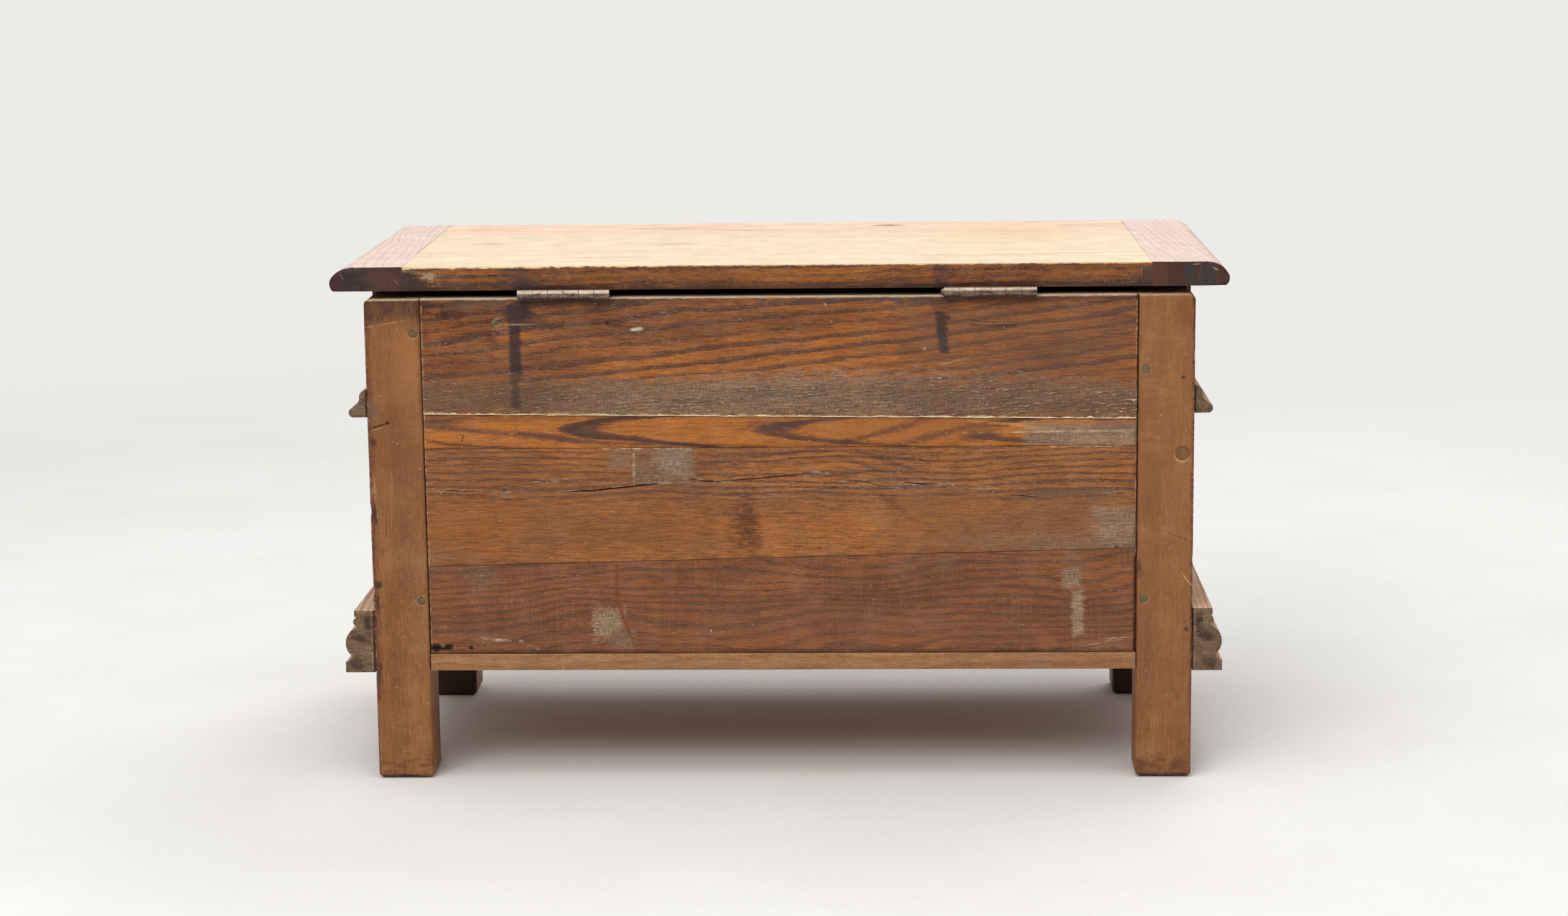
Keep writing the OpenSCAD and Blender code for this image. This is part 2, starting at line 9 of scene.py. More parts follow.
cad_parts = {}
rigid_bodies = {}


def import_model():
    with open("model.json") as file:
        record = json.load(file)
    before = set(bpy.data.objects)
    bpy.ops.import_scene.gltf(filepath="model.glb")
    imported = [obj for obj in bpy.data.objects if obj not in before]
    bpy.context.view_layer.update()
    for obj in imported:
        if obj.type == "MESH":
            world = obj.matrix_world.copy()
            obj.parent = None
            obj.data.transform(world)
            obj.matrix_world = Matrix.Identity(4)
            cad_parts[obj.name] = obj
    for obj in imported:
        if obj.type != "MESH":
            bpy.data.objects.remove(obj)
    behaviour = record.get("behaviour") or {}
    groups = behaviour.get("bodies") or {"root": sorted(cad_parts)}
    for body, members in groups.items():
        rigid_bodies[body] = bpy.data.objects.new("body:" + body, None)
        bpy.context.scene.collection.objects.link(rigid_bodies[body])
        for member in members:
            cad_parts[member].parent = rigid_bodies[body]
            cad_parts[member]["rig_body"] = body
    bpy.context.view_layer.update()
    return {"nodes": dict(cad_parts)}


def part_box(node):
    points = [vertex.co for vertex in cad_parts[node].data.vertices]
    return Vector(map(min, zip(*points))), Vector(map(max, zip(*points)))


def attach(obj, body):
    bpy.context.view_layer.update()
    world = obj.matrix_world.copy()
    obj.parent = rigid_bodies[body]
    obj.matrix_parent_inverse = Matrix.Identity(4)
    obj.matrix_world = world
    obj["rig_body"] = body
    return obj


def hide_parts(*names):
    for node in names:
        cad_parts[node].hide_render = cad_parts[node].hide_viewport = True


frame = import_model()

MM = 0.001
PHOTO_W = 2520

REAR_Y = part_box("rear_left_post")[1].y
REAR_MM = REAR_Y / MM
POST_FACE_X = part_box("rear_right_post")[0].x / MM
LID_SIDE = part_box("lid_right_cleat")[1].x / MM
LID_FRONT, LID_LOW = (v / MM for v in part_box("lid_front_board")[0].yz)

SHARP = 0.8  # least angle in radians between the faces at an arris
TIGHT_ARRIS = 0.25 * MM  # how far an arris at a joint is rounded
ALONG = 0.9  # least cosine between edges that carry each other on
SLIVER = 0.3 * MM


# Meshes

def copied_mesh(node):
    """A clean copy of a CAD node's mesh, its flat faces whole."""
    bm = bmesh.new()
    bm.from_mesh(frame["nodes"][node].data)
    bmesh.ops.remove_doubles(bm, verts=bm.verts, dist=1e-6)
    bmesh.ops.dissolve_limit(bm, angle_limit=math.radians(0.5), verts=bm.verts, edges=bm.edges)
    return bm


def carried_on(sharp):
    """Sharp edges together with the short ones that carry them on round a curve."""
    chain = list(sharp)
    seen = set(sharp)
    for edge in chain:
        for v in edge.verts:
            along = (v.co - edge.other_vert(v).co).normalized()
            for other in v.link_edges:
                onward = (other.other_vert(v).co - v.co).normalized()
                if (other not in seen and other.is_manifold and along.dot(onward) > ALONG
                        and other.calc_face_angle(0) > SHARP):
                    seen.add(other)
                    chain.append(other)
    return chain


def ease_arrises(bm, width, shortest, tight):
    """Rounds the sharp edges that are longer than shortest, and hardly those that tight picks."""
    for picked, offset in ((False, width), (True, TIGHT_ARRIS)):
        sharp = [e for e in bm.edges
                 if e.is_manifold and e.calc_face_angle(0) > SHARP and e.calc_length() > shortest
                 and tight((e.verts[0].co + e.verts[1].co) / (2.0 * MM)) == picked]
        if picked:
            sharp = carried_on(sharp)
        if sharp:
            bmesh.ops.bevel(bm, geom=sharp, offset=offset, offset_type="OFFSET", segments=2,
                            profile=0.5, affect="EDGES", clamp_overlap=True)


def draw_in_ends(bm, gaps):
    """Draws a back board's rear arrises in from the posts. gaps holds x's sign, z and width."""
    for v in bm.verts:
        place = v.co / MM
        if abs(place.x) < POST_FACE_X - 2.0 or place.y < REAR_MM - 5.0:
            continue
        for side, low, high, gap in gaps:
            if place.x * side > 0.0 and low <= place.z <= high:
                v.co.x -= side * gap * MM * (1.0 + 0.7 * noise.noise(v.co * 95.0))


def filled_out(gap, height, radius=9.0, kept=5.2, reach=24.0, nose=9.0, fade=3.0):
    """A distance from the lid's outer edge, drawn outward below the nose of its rounded edge."""
    share = min(1.0, max(0.0, (nose + fade - height) / fade))
    if gap < radius:
        drawn = gap * kept / radius
    else:
        drawn = kept + (gap - radius) * (reach - kept) / (reach - radius)
    return gap + (min(gap, drawn) - gap) * share


def fill_lid_edge(bm):
    """Makes the lower corner of the lid's rounded edge as full as in the photograph, once slivers
    of faces along the edge's mitres are gone."""
    bmesh.ops.dissolve_degenerate(bm, dist=SLIVER, edges=bm.edges)
    for v in bm.verts:
        height = v.co.z / MM - LID_LOW
        side = filled_out(LID_SIDE - abs(v.co.x) / MM, height)
        v.co.x = math.copysign((LID_SIDE - side) * MM, v.co.x)
        v.co.y = (LID_FRONT + filled_out(v.co.y / MM - LID_FRONT, height)) * MM


def cut_to_cells(bm, cell):
    """Cuts the mesh along a grid of planes, so that its flat faces can be worn."""
    low = Vector([min(v.co[i] for v in bm.verts) for i in range(3)])
    high = Vector([max(v.co[i] for v in bm.verts) for i in range(3)])
    for axis in range(3):
        normal = Vector([float(i == axis) for i in range(3)])
        count = max(1, round((high[axis] - low[axis]) / cell))
        for k in range(1, count):
            bmesh.ops.bisect_plane(bm, geom=bm.verts[:] + bm.edges[:] + bm.faces[:], dist=1e-7,
                                   plane_co=low + (high - low) * (k / count), plane_no=normal)


def wear(bm, seed, wobble, chip, dents, tight):
    """Sinks each vertex a little below the sawn surface, and more along worn arrises and dents,
    but hardly at places that tight picks. Returns how worn each vertex is, from 0 to 1."""
    bm.normal_update()
    shift = Vector((seed * 3.17, seed * 1.31, seed * 2.03))
    worn = []
    moved = []
    for v in bm.verts:
        n = v.normal
        arris = min(1.0, 3.2 * (1.0 - max(abs(n.x), abs(n.y), abs(n.z))))
        broad = 0.5 + 0.5 * noise.noise(v.co * 14.0 + shift)
        fine = 0.5 + 0.5 * noise.noise(v.co * 60.0 + shift)
        bite = max(0.0, noise.noise(v.co * 45.0 - shift) + 0.25 * noise.noise(v.co * 160.0) - 0.12)
        depth = wobble * (0.7 * broad + 0.3 * fine) + chip * arris * bite * 2.2
        for centre, radius, dent in dents:
            share = (v.co - centre).length / radius
            if share < 1.0:
                depth += dent * (1.0 - share * share) ** 2 * (0.6 + 0.8 * fine)
        calm = 0.15 if tight(v.co / MM) else 1.0
        moved.append(v.co - n * depth * calm)
        worn.append(min(1.0, arris * (0.35 + 1.6 * bite)) * calm)
    for v, place in zip(bm.verts, moved):
        v.co = place
    return worn


def finish_piece(name, bm, material, body, replaced=(), worn=None, smooth_angle=38):
    """Turns a bmesh into a piece that rides on a body."""
    mesh = bpy.data.meshes.new(name)
    bm.to_mesh(mesh)
    bm.free()
    if worn is not None:
        layer = mesh.attributes.new("worn", "FLOAT", "POINT")
        layer.data.foreach_set("value", worn)
    mesh.materials.append(material)
    mesh.shade_smooth()
    mesh.set_sharp_from_angle(angle=math.radians(smooth_angle))
    piece = bpy.data.objects.new(name, mesh)
    bpy.context.scene.collection.objects.link(piece)
    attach(piece, body)
    if replaced:
        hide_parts(*replaced)
    return piece


def node_body(node):
    return frame["nodes"][node]["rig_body"]


def dress(node, material, seed, cell=6.0, arris=0.8, shortest=20.0, wobble=0.45, chip=0.8,
          dents=(), cracks=(), gaps=(), smooth_angle=38, tight=lambda place: False,
          reshape=None):
    """A worn copy of a wooden or metal CAD node, which replaces it. Sizes are in millimetres."""
    bm = copied_mesh(node)
    ease_arrises(bm, arris * MM, shortest * MM, tight)
    cut_to_cells(bm, cell * MM * (1.0))
    draw_in_ends(bm, gaps)
    if reshape:
        reshape(bm)
    placed = [(Vector(c) * MM, r * MM, d * MM) for c, r, d in dents]
    worn = wear(bm, seed, wobble * MM, chip * MM, placed, tight)
    piece = finish_piece(node + "_worn", bm, material, node_body(node),
                         (node,), worn, smooth_angle)
    for path, half_width, depth in cracks:
        cut_crack(piece, path, half_width, depth)
    return piece


def carve(piece, bm):
    """Takes the solid in bm away from a piece."""
    bmesh.ops.recalc_face_normals(bm, faces=bm.faces)
    mesh = bpy.data.meshes.new("cutter")
    bm.to_mesh(mesh)
    bm.free()
    cutter = bpy.data.objects.new("cutter", mesh)
    bpy.context.scene.collection.objects.link(cutter)
    modifier = piece.modifiers.new("carve", "BOOLEAN")
    modifier.operation = "DIFFERENCE"
    modifier.solver = "EXACT"
    modifier.object = cutter
    bpy.context.view_layer.update()
    result = bpy.data.meshes.new_from_object(
        piece.evaluated_get(bpy.context.evaluated_depsgraph_get()))
    piece.modifiers.clear()
    piece.data = result
    bpy.data.objects.remove(cutter)


def swept(rows):
    """A closed solid through rows of points, given in millimetres."""
    bm = bmesh.new()
    rings = [[bm.verts.new(Vector(point) * MM) for point in row] for row in rows]
    size = len(rings[0])
    for a, b in zip(rings, rings[1:]):
        for j in range(size):
            bm.faces.new((a[j], a[(j + 1) % size], b[(j + 1) % size], b[j]))
    bm.faces.new(rings[0][::-1])
    bm.faces.new(rings[-1])
    return bm


def cut_crack(piece, path, half_width, depth):
    """Cuts a drying crack into the face that looks along +Y. The path holds x and z."""
    count = 6 * (len(path) - 1) + 1
    rows = []
    for i in range(count):
        t = i / (count - 1) * (len(path) - 1)
        k = min(int(t), len(path) - 2)
        x = path[k][0] + (path[k + 1][0] - path[k][0]) * (t - k)
        z = path[k][1] + (path[k + 1][1] - path[k][1]) * (t - k)
        along = i / (count - 1)
        z += 0.5 * noise.noise(Vector((x * 0.07, z * 0.2, 3.0)))
        half = half_width * (0.12 + math.sin(math.pi * along) ** 0.6)
        half *= 0.75 + 0.5 * abs(noise.noise(Vector((x * 0.05, 9.0, 1.0))))
        rows.append([(x, REAR_MM + 2.0, z + half), (x, REAR_MM + 2.0, z - half),
                     (x, REAR_MM - depth, z - half * 0.25), (x, REAR_MM - depth, z + half * 0.25)])
    carve(piece, swept(rows))


def cut_cross(piece, x, z, reach, half, depth, turn):
    """Cuts a crossed recess into a screw's head."""
    top = max(v.co.y for v in piece.data.vertices) / MM
    for angle in (turn, turn + math.pi / 2):
        u = Vector((math.cos(angle), 0.0, math.sin(angle)))
        w = Vector((-u.z, 0.0, u.x)) * half
        rows = []
        for place, low in ((-reach, 0.4), (-reach * 0.4, depth), (reach * 0.4, depth), (reach, 0.4)):
            centre = Vector((x, 0.0, z)) + u * place
            rows.append([centre + w + Vector((0.0, top + 1.0, 0.0)),
                         centre - w + Vector((0.0, top + 1.0, 0.0)),
                         centre - w * 0.6 + Vector((0.0, top - low, 0.0)),
                         centre + w * 0.6 + Vector((0.0, top - low, 0.0))])
        carve(piece, swept(rows))


def splinter_lip(name, material, node, start, end, height, proud, seed):
    """The torn, ragged sliver that stands along a back board's edge. start and end are x and z."""
    length = math.dist(start, end)
    count = round(length / (1.5))
    rows = []
    for i in range(count + 1):
        x = start[0] + (end[0] - start[0]) * i / count
        z = start[1] + (end[1] - start[1]) * i / count
        slow = noise.noise(Vector((x * 0.03, z * 0.03, seed)))
        quick = noise.noise(Vector((x * 0.31, z * 0.31, seed + 5.0)))
        spike = max(0.0, noise.noise(Vector((x * 0.12, z * 0.12, seed + 9.0))) - 0.05)
        low = z - 0.25 * height + 0.5 * slow + 0.3 * quick
        high = low + height * (0.65 + 0.4 * quick + 2.0 * spike)
        out = REAR_MM + proud * (0.8 + 0.5 * slow)
        rows.append([(x, REAR_MM - 0.9, low), (x, out, low + 0.2 * (high - low)),
                     (x, out * 0.5 + (REAR_MM - 0.2) * 0.5, high - 0.15), (x, REAR_MM - 0.9, high)])
    bm = swept(rows)
    bmesh.ops.recalc_face_normals(bm, faces=bm.faces)
    return finish_piece(name, bm, material, node_body(node), smooth_angle=50)


# Shaders

def rgb(colour):
    """A screen colour's red, green and blue, made linear."""
    screen = [(colour >> shift & 255) / 255.0 for shift in (16, 8, 0)]
    return (*(v / 12.92 if v <= 0.04045 else ((v + 0.055) / 1.055) ** 2.4 for v in screen), 1.0)


class Net:
    """Adds nodes to a material or a group."""

    def __init__(self, tree):
        self.tree = tree

    def add(self, kind, *values, **settings):
        """Adds a node with the values or links of its first inputs and its settings."""
        node = self.tree.nodes.new("ShaderNode" + kind)
        for key, value in settings.items():
            setattr(node, key, value)
        for socket, value in zip(node.inputs, values):
            self.put(socket, value)
        return node

    def put(self, target, value):
        """Links a socket or sets a value, which for a colour is its screen values."""
        if isinstance(value, bpy.types.NodeSocket):
            self.tree.links.new(value, target)
        else:
            target.default_value = rgb(value) if target.type == "RGBA" else value

    def math(self, operation, a, b=0.0, c=0.0, clamp=False):
        return self.add("Math", a, b, c, operation=operation, use_clamp=clamp).outputs[0]

    plus = partialmethod(math, "ADD")
    minus = partialmethod(math, "SUBTRACT")
    times = partialmethod(math, "MULTIPLY")
    over = partialmethod(math, "DIVIDE")
    least = partialmethod(math, "MINIMUM")
    most = partialmethod(math, "MAXIMUM")
    size = partialmethod(math, "ABSOLUTE")
    root = partialmethod(math, "SQRT")
    madd = partialmethod(math, "MULTIPLY_ADD")

    def vector(self, operation, a, b=(0.0, 0.0, 0.0), scale=1.0):
        return self.add("VectorMath", a, b, (0.0, 0.0, 0.0), scale, operation=operation).outputs

    def split(self, vector):
        return self.add("SeparateXYZ", vector).outputs

    def join(self, x, y, z):
        return self.add("CombineXYZ", x, y, z).outputs[0]

    def noise(self, where, stretch, detail=2.0, roughness=0.5):
        """Noise from 0 to 1 whose features are about stretch millimetres along each axis."""
        place = self.vector("MULTIPLY", where, tuple(1.0 / s for s in stretch))[0]
        return self.add("TexNoise", place, 0.0, 1.0, detail, roughness).outputs["Fac"]

    def step(self, value, low, high):
        """0 below low and 1 above high, smooth between. low may be above high."""
        return self.add("MapRange", value, *sorted((low, high)), float(low > high),
                        float(low < high), interpolation_type="SMOOTHSTEP").outputs["Result"]

    def mix(self, share, a, b, blend="MIX"):
        node = self.add("Mix", share, data_type="RGBA", blend_type=blend)
        self.put(node.inputs[6], a)
        self.put(node.inputs[7], b)
        return node.outputs[2]

    def scaled(self, value, factor, offset=0.0):
        return self.madd(value, factor, offset)

    def product(self, first, *rest):
        for value in rest:
            first = self.times(first, value)
        return first


class Surface(Net):
    """A material with a Principled shader, and the place in the chest's frame in millimetres."""

    def __init__(self, name):
        self.material = bpy.data.materials.new(name)
        self.material.use_nodes = True
        super().__init__(self.material.node_tree)
        self.tree.nodes.clear()
        self.shader = self.add("BsdfPrincipled")
        self.out = self.add("OutputMaterial", self.shader.outputs[0])
        coordinates = self.add("TexCoord")
        self.place = self.vector("SCALE", coordinates.outputs["Object"], scale=1.0 / MM)[0]
        self.x, self.y, self.z = self.split(self.place)
        self.nx, self.ny, self.nz = self.split(coordinates.outputs["Normal"])

    def worn(self):
        return self.add("Attribute", attribute_name="worn").outputs["Fac"]

    def patches(self, stretch, detail, roughness, low, high):
        """Soft-edged patches of noise, 1 inside and 0 between them."""
        return self.step(self.noise(self.place, stretch, detail, roughness), low, high)

    def finish(self, colour, roughness, height=None, depth=1.0, specular=0.5, metallic=0.0):
        """Gives the shader its values. height is relief in steps of depth millimetres."""
        inputs = self.shader.inputs
        self.put(inputs["Base Color"], colour)
        self.put(inputs["Roughness"], roughness)
        self.put(inputs["Specular IOR Level"], specular)
        self.put(inputs["Metallic"], metallic)
        if height is not None:
            relief = self.add("Bump")
            self.put(relief.inputs["Strength"], 1.0)
            self.put(relief.inputs["Distance"], MM * depth)
            self.put(relief.inputs["Height"], height)
            self.put(inputs["Normal"], relief.outputs[0])
        return self.material


Mark = namedtuple("Mark", "x z half_x half_z tilt soft ragged shape colour strength kind")


def box(x, z, half_x, half_z, soft, ragged, colour, strength, kind="plain", tilt=0, shape="box"):
    """A mark on a face: its middle and half sizes, how soft and ragged its outline is, its
    paint, and its tilt in degrees."""
    return Mark(x, z, half_x, half_z, tilt, soft, ragged, shape, colour, strength, kind)


oval = partial(box, shape="oval")


def streak(x0, z0, x1, z1, half_width, soft, ragged, colour, strength, kind="plain", shape="oval"):
    """A mark along a line from one point to another."""
    return box((x0 + x1) / 2, (z0 + z1) / 2, math.hypot(x1 - x0, z1 - z0) / 2, half_width, soft,
               ragged, colour, strength, kind, math.degrees(math.atan2(z1 - z0, x1 - x0)), shape)


def trail(points, *paint):
    """Streaks from point to point."""
    return [streak(*p, *q, *paint) for p, q in zip(points, points[1:])]


def mask_group(shape):
    """A node group that gives how far a point lies inside a ragged, turned box or oval."""
    tree = bpy.data.node_groups.new("mask_" + shape, "ShaderNodeTree")
    names = ("u", "v", "ragged", "centre_u", "centre_v", "half_u", "half_v", "cos", "sin",
             "soft", "rough", "least")
    for name in names:
        tree.interface.new_socket(name, in_out="INPUT", socket_type="NodeSocketFloat")
    tree.interface.new_socket("share", in_out="OUTPUT", socket_type="NodeSocketFloat")
    net = Net(tree)
    given = dict(zip(names, tree.nodes.new("NodeGroupInput").outputs))
    du = net.minus(given["u"], given["centre_u"])
    dv = net.minus(given["v"], given["centre_v"])
    along = net.madd(du, given["cos"], net.product(dv, given["sin"]))
    across = net.minus(net.product(dv, given["cos"]), net.product(du, given["sin"]))
    if shape == "oval":
        au = net.over(along, given["half_u"])
        av = net.over(across, given["half_v"])
        reach = net.root(net.madd(au, au, net.times(av, av)))
        out = net.product(net.minus(reach, 1.0), given["least"])
    else:
        out = net.most(net.minus(net.size(along), given["half_u"]),
                       net.minus(net.size(across), given["half_v"]))
    out = net.madd(given["ragged"], given["rough"], out)
    share = net.madd(net.over(out, given["soft"]), -0.5, 0.5, clamp=True)
    net.put(tree.nodes.new("NodeGroupOutput").inputs["share"], share)
    return tree


MASKS = {shape: mask_group(shape) for shape in ("box", "oval")}


def mark_mask(net, u, v, mark, ragged):
    """Where a mark lies: a ragged box or oval, turned by the mark's tilt."""
    turn = math.radians(mark.tilt)
    values = (u, v, ragged, mark.x, mark.z, mark.half_x, mark.half_z, math.cos(turn),
              math.sin(turn), mark.soft, mark.ragged, min(mark.half_x, mark.half_z))
    node = net.add("Group", node_tree=MASKS[mark.shape])
    for socket, value in zip(node.inputs, values):
        net.put(socket, value)
    return node.outputs["share"]


def splinters(net, slope, pitch=3.7):
    """Wavy raised fibres along the grain, as on rough-sawn oak, and the shadow below each."""
    wobble = net.noise(net.place, (10, 10, 6), 4, 0.65)
    phase = net.madd(net.x, slope / pitch, net.scaled(net.z, 1.0 / pitch))
    phase = net.madd(wobble, 2.6, phase)
    off = net.scaled(net.math("FRACT", phase), 1.0, -0.5)
    broken = net.patches((18, 18, 2.0), 4, 0.7, 0.45, 0.57)
    kept = net.patches((70, 70, 14), 3, 0.6, 0.36, 0.58)
    broken = net.product(broken, net.scaled(kept, 0.7, 0.3))
    crest = net.product(net.step(net.size(off), 0.15, 0.05), broken)
    shade = net.product(net.step(off, -0.42, -0.26), net.step(off, -0.12, -0.18), broken)
    return crest, shade


def sawn_parts(net, slope):
    """How well rough-sawn wood covers, its raised splinters, their shadows and its hatching."""
    streaks = net.noise(net.place, (14, 14, 0.7), 4, 0.75)
    upright = net.noise(net.place, (0.8, 12, 9), 3, 0.75)
    patch = net.patches((50, 50, 26), 2, 0.5, 0.42, 0.60)
    cross = net.times(net.step(upright, 0.54, 0.66), patch)
    hatch = net.plus(net.scaled(streaks, 3.0, -1.25), net.scaled(upright, 2.4, -0.6))
    hatch = net.plus(hatch, net.scaled(net.noise(net.place, (60, 60, 18), 3), 0.9, -0.45))
    cover = net.plus(net.scaled(streaks, 2.0), net.scaled(upright, 2.2))
    return cover, *splinters(net, slope), net.plus(hatch, net.scaled(cross, 0.45))


RAISED = {"sawn": 0.3, "torn": 1.0}  # how high the splinters of these kinds stand


def paint_sawn(net, mark, share, parts, colour, height):
    """Paints a mark of rough-sawn wood."""
    bare, lines, shade, hatch = parts
    raised = RAISED[mark.kind]
    body = net.mix(1.0, mark.colour, net.scaled(hatch, 1.0, 0.05), "MULTIPLY")
    body = net.mix(net.times(shade, raised * 0.7), body, 0x423028)
    body = net.mix(net.times(lines, raised), body, 0xe8d0ac)
    cover = net.times(share, net.scaled(bare, 1.0, mark.strength - 2.1), clamp=True)
    cover = net.most(cover, net.product(share, lines, raised))
    tooth = net.madd(lines, raised * 0.8, net.scaled(hatch, 0.3))
    return net.mix(cover, colour, body), net.madd(tooth, share, height)


def paint_marks(net, u, v, facing, marks, colour, height, dash, slope, tear):
    """Paints the marks in turn where the face looks the right way."""
    ragged = net.madd(net.noise(net.place, tear, 4, 0.7), 2.2, net.scaled(dash, 1.4, -1.8))
    shown = {"dashed": net.times(facing, net.scaled(dash, 1.5, -0.1), clamp=True)}
    kinds = {mark.kind for mark in marks}
    if kinds & set(RAISED):
        parts = sawn_parts(net, slope)
    if "worn" in kinds:
        shown["worn"] = net.times(facing, net.patches((16, 16, 5), 4, 0.7, 0.44, 0.56))
    for mark in marks:
        share = net.times(mark_mask(net, u, v, mark, ragged), shown.get(mark.kind, facing))
        if mark.kind in RAISED:
            colour, height = paint_sawn(net, mark, share, parts, colour, height)
            continue
        if mark.kind == "pit":
            height = net.madd(share, -1.4, height)
        colour = net.mix(net.times(share, mark.strength), colour, mark.colour)
    return colour, height


def ring_field(net, a, b, c, seed, pith, slope, taper, wander, knots):
    """How far a point is from the pith, in millimetres, bent round the knots."""
    q = net.join(net.scaled(a, 1.0, seed * 731.0), net.scaled(b, 1.0, seed * 113.0),
                 net.scaled(c, 1.0, seed * 59.0))
    wide = net.scaled(net.noise(q, (190, 60, 60), 1), wander[0] * 2.4, -wander[0] * 1.2)
    small = net.scaled(net.noise(q, (34, 12, 12), 2), wander[1] * 2.4, -wander[1] * 1.2)
    db = net.plus(net.madd(a, -slope, b), wide)
    db = net.minus(net.plus(db, small), pith[0])
    for ku, kv, ru, rv, push in knots:
        du = net.scaled(a, 1.0 / ru, -ku / ru)
        dv = net.scaled(b, 1.0 / rv, -kv / rv)
        far = net.root(net.madd(du, du, net.times(dv, dv)))
        bend = net.product(net.step(far, 1.0, 0.0), dv, -push)
        db = net.plus(db, bend)
    dc = net.scaled(c, 1.0, -pith[1])
    reach = net.root(net.madd(db, db, net.times(dc, dc)))
    return q, net.madd(a, taper, reach)


TEAR = (10, 8, 4)  # how long and broad the ragged bits of a mark's outline are


def year_rings(net, field, spacing, seed, late):
    """The dark late part of each year ring, and how strong each year is."""
    phase = net.scaled(field, 1.0 / spacing)
    part = net.math("FRACT", phase)
    ring = net.add("TexWhiteNoise", noise_dimensions="1D")
    net.put(ring.inputs["W"], net.scaled(net.math("FLOOR", phase), 1.0, seed * 17.0))
    year = net.scaled(ring.outputs["Value"], 0.6, 0.4)
    return net.times(net.step(part, *late), net.step(part, 1.0, 0.90)), year


def wood_tone(net, fibre, fine, pore, streak, pores):
    """How fibres, pores and grit lighten or darken the wood, around 1."""
    grit = net.noise(net.place, (2.4, 2.4, 1.8), 3, 0.8)
    tone = net.plus(net.scaled(fibre, streak * 5.4, 1.07 - streak * 2.7),
                    net.scaled(fine, streak * 2.4, -streak * 1.2))
    tone = net.madd(grit, 1.1, net.scaled(tone, 1.0, -0.55))
    tone = net.times(tone, net.scaled(pore, -0.4 * pores, 1.0))
    tone = net.times(tone, net.scaled(net.step(fine, 0.60, 0.70), -0.5 * streak, 1.0))
    return net.least(net.most(tone, 0.35), 1.7)


def end_grain(net, end, colour, rings, light, dark):
    """Colours the faces cut across the grain."""
    ends = net.mix(rings, light, dark)
    ends = net.mix(net.times(net.patches((8, 8, 8), 4, 0.65, 0.38, 0.62), 0.7), ends, dark)
    scratch = net.noise(net.place, (1.3, 1.3, 1.3), 3, 0.7)
    ends = net.mix(1.0, ends, net.scaled(scratch, 1.5, 0.25), "MULTIPLY")
    return net.mix(end, colour, ends)


def saw_kerfs(net, colour, height, dark, saw):
    """The marks that a saw's teeth left across a face."""
    kerf = net.times(net.patches((0.9, 60, 70), 1, 0.5, 0.42, 0.62),
                     net.patches((110, 60, 45), 2, 0.5, 0.42, 0.58))
    return net.mix(net.times(kerf, 0.32 * saw), colour, dark), net.madd(kerf, -0.18 * saw, height)


def splashes(net, colour, share):
    """Small pale splashes, in the given share of cells 11 mm wide."""
    cells = net.add("TexVoronoi", feature="F1")
    net.put(cells.inputs["Vector"], net.vector("SCALE", net.place, scale=1.0 / 11.0)[0])
    net.put(cells.inputs["Scale"], 1.0)
    dot = net.step(cells.outputs["Distance"], 0.065, 0.035)
    chosen = net.step(net.split(cells.outputs["Color"])[0], 1.0 - share, 1.0 - share + 0.02)
    return net.mix(net.product(dot, chosen, 0.85), colour, 0xdecdb2)


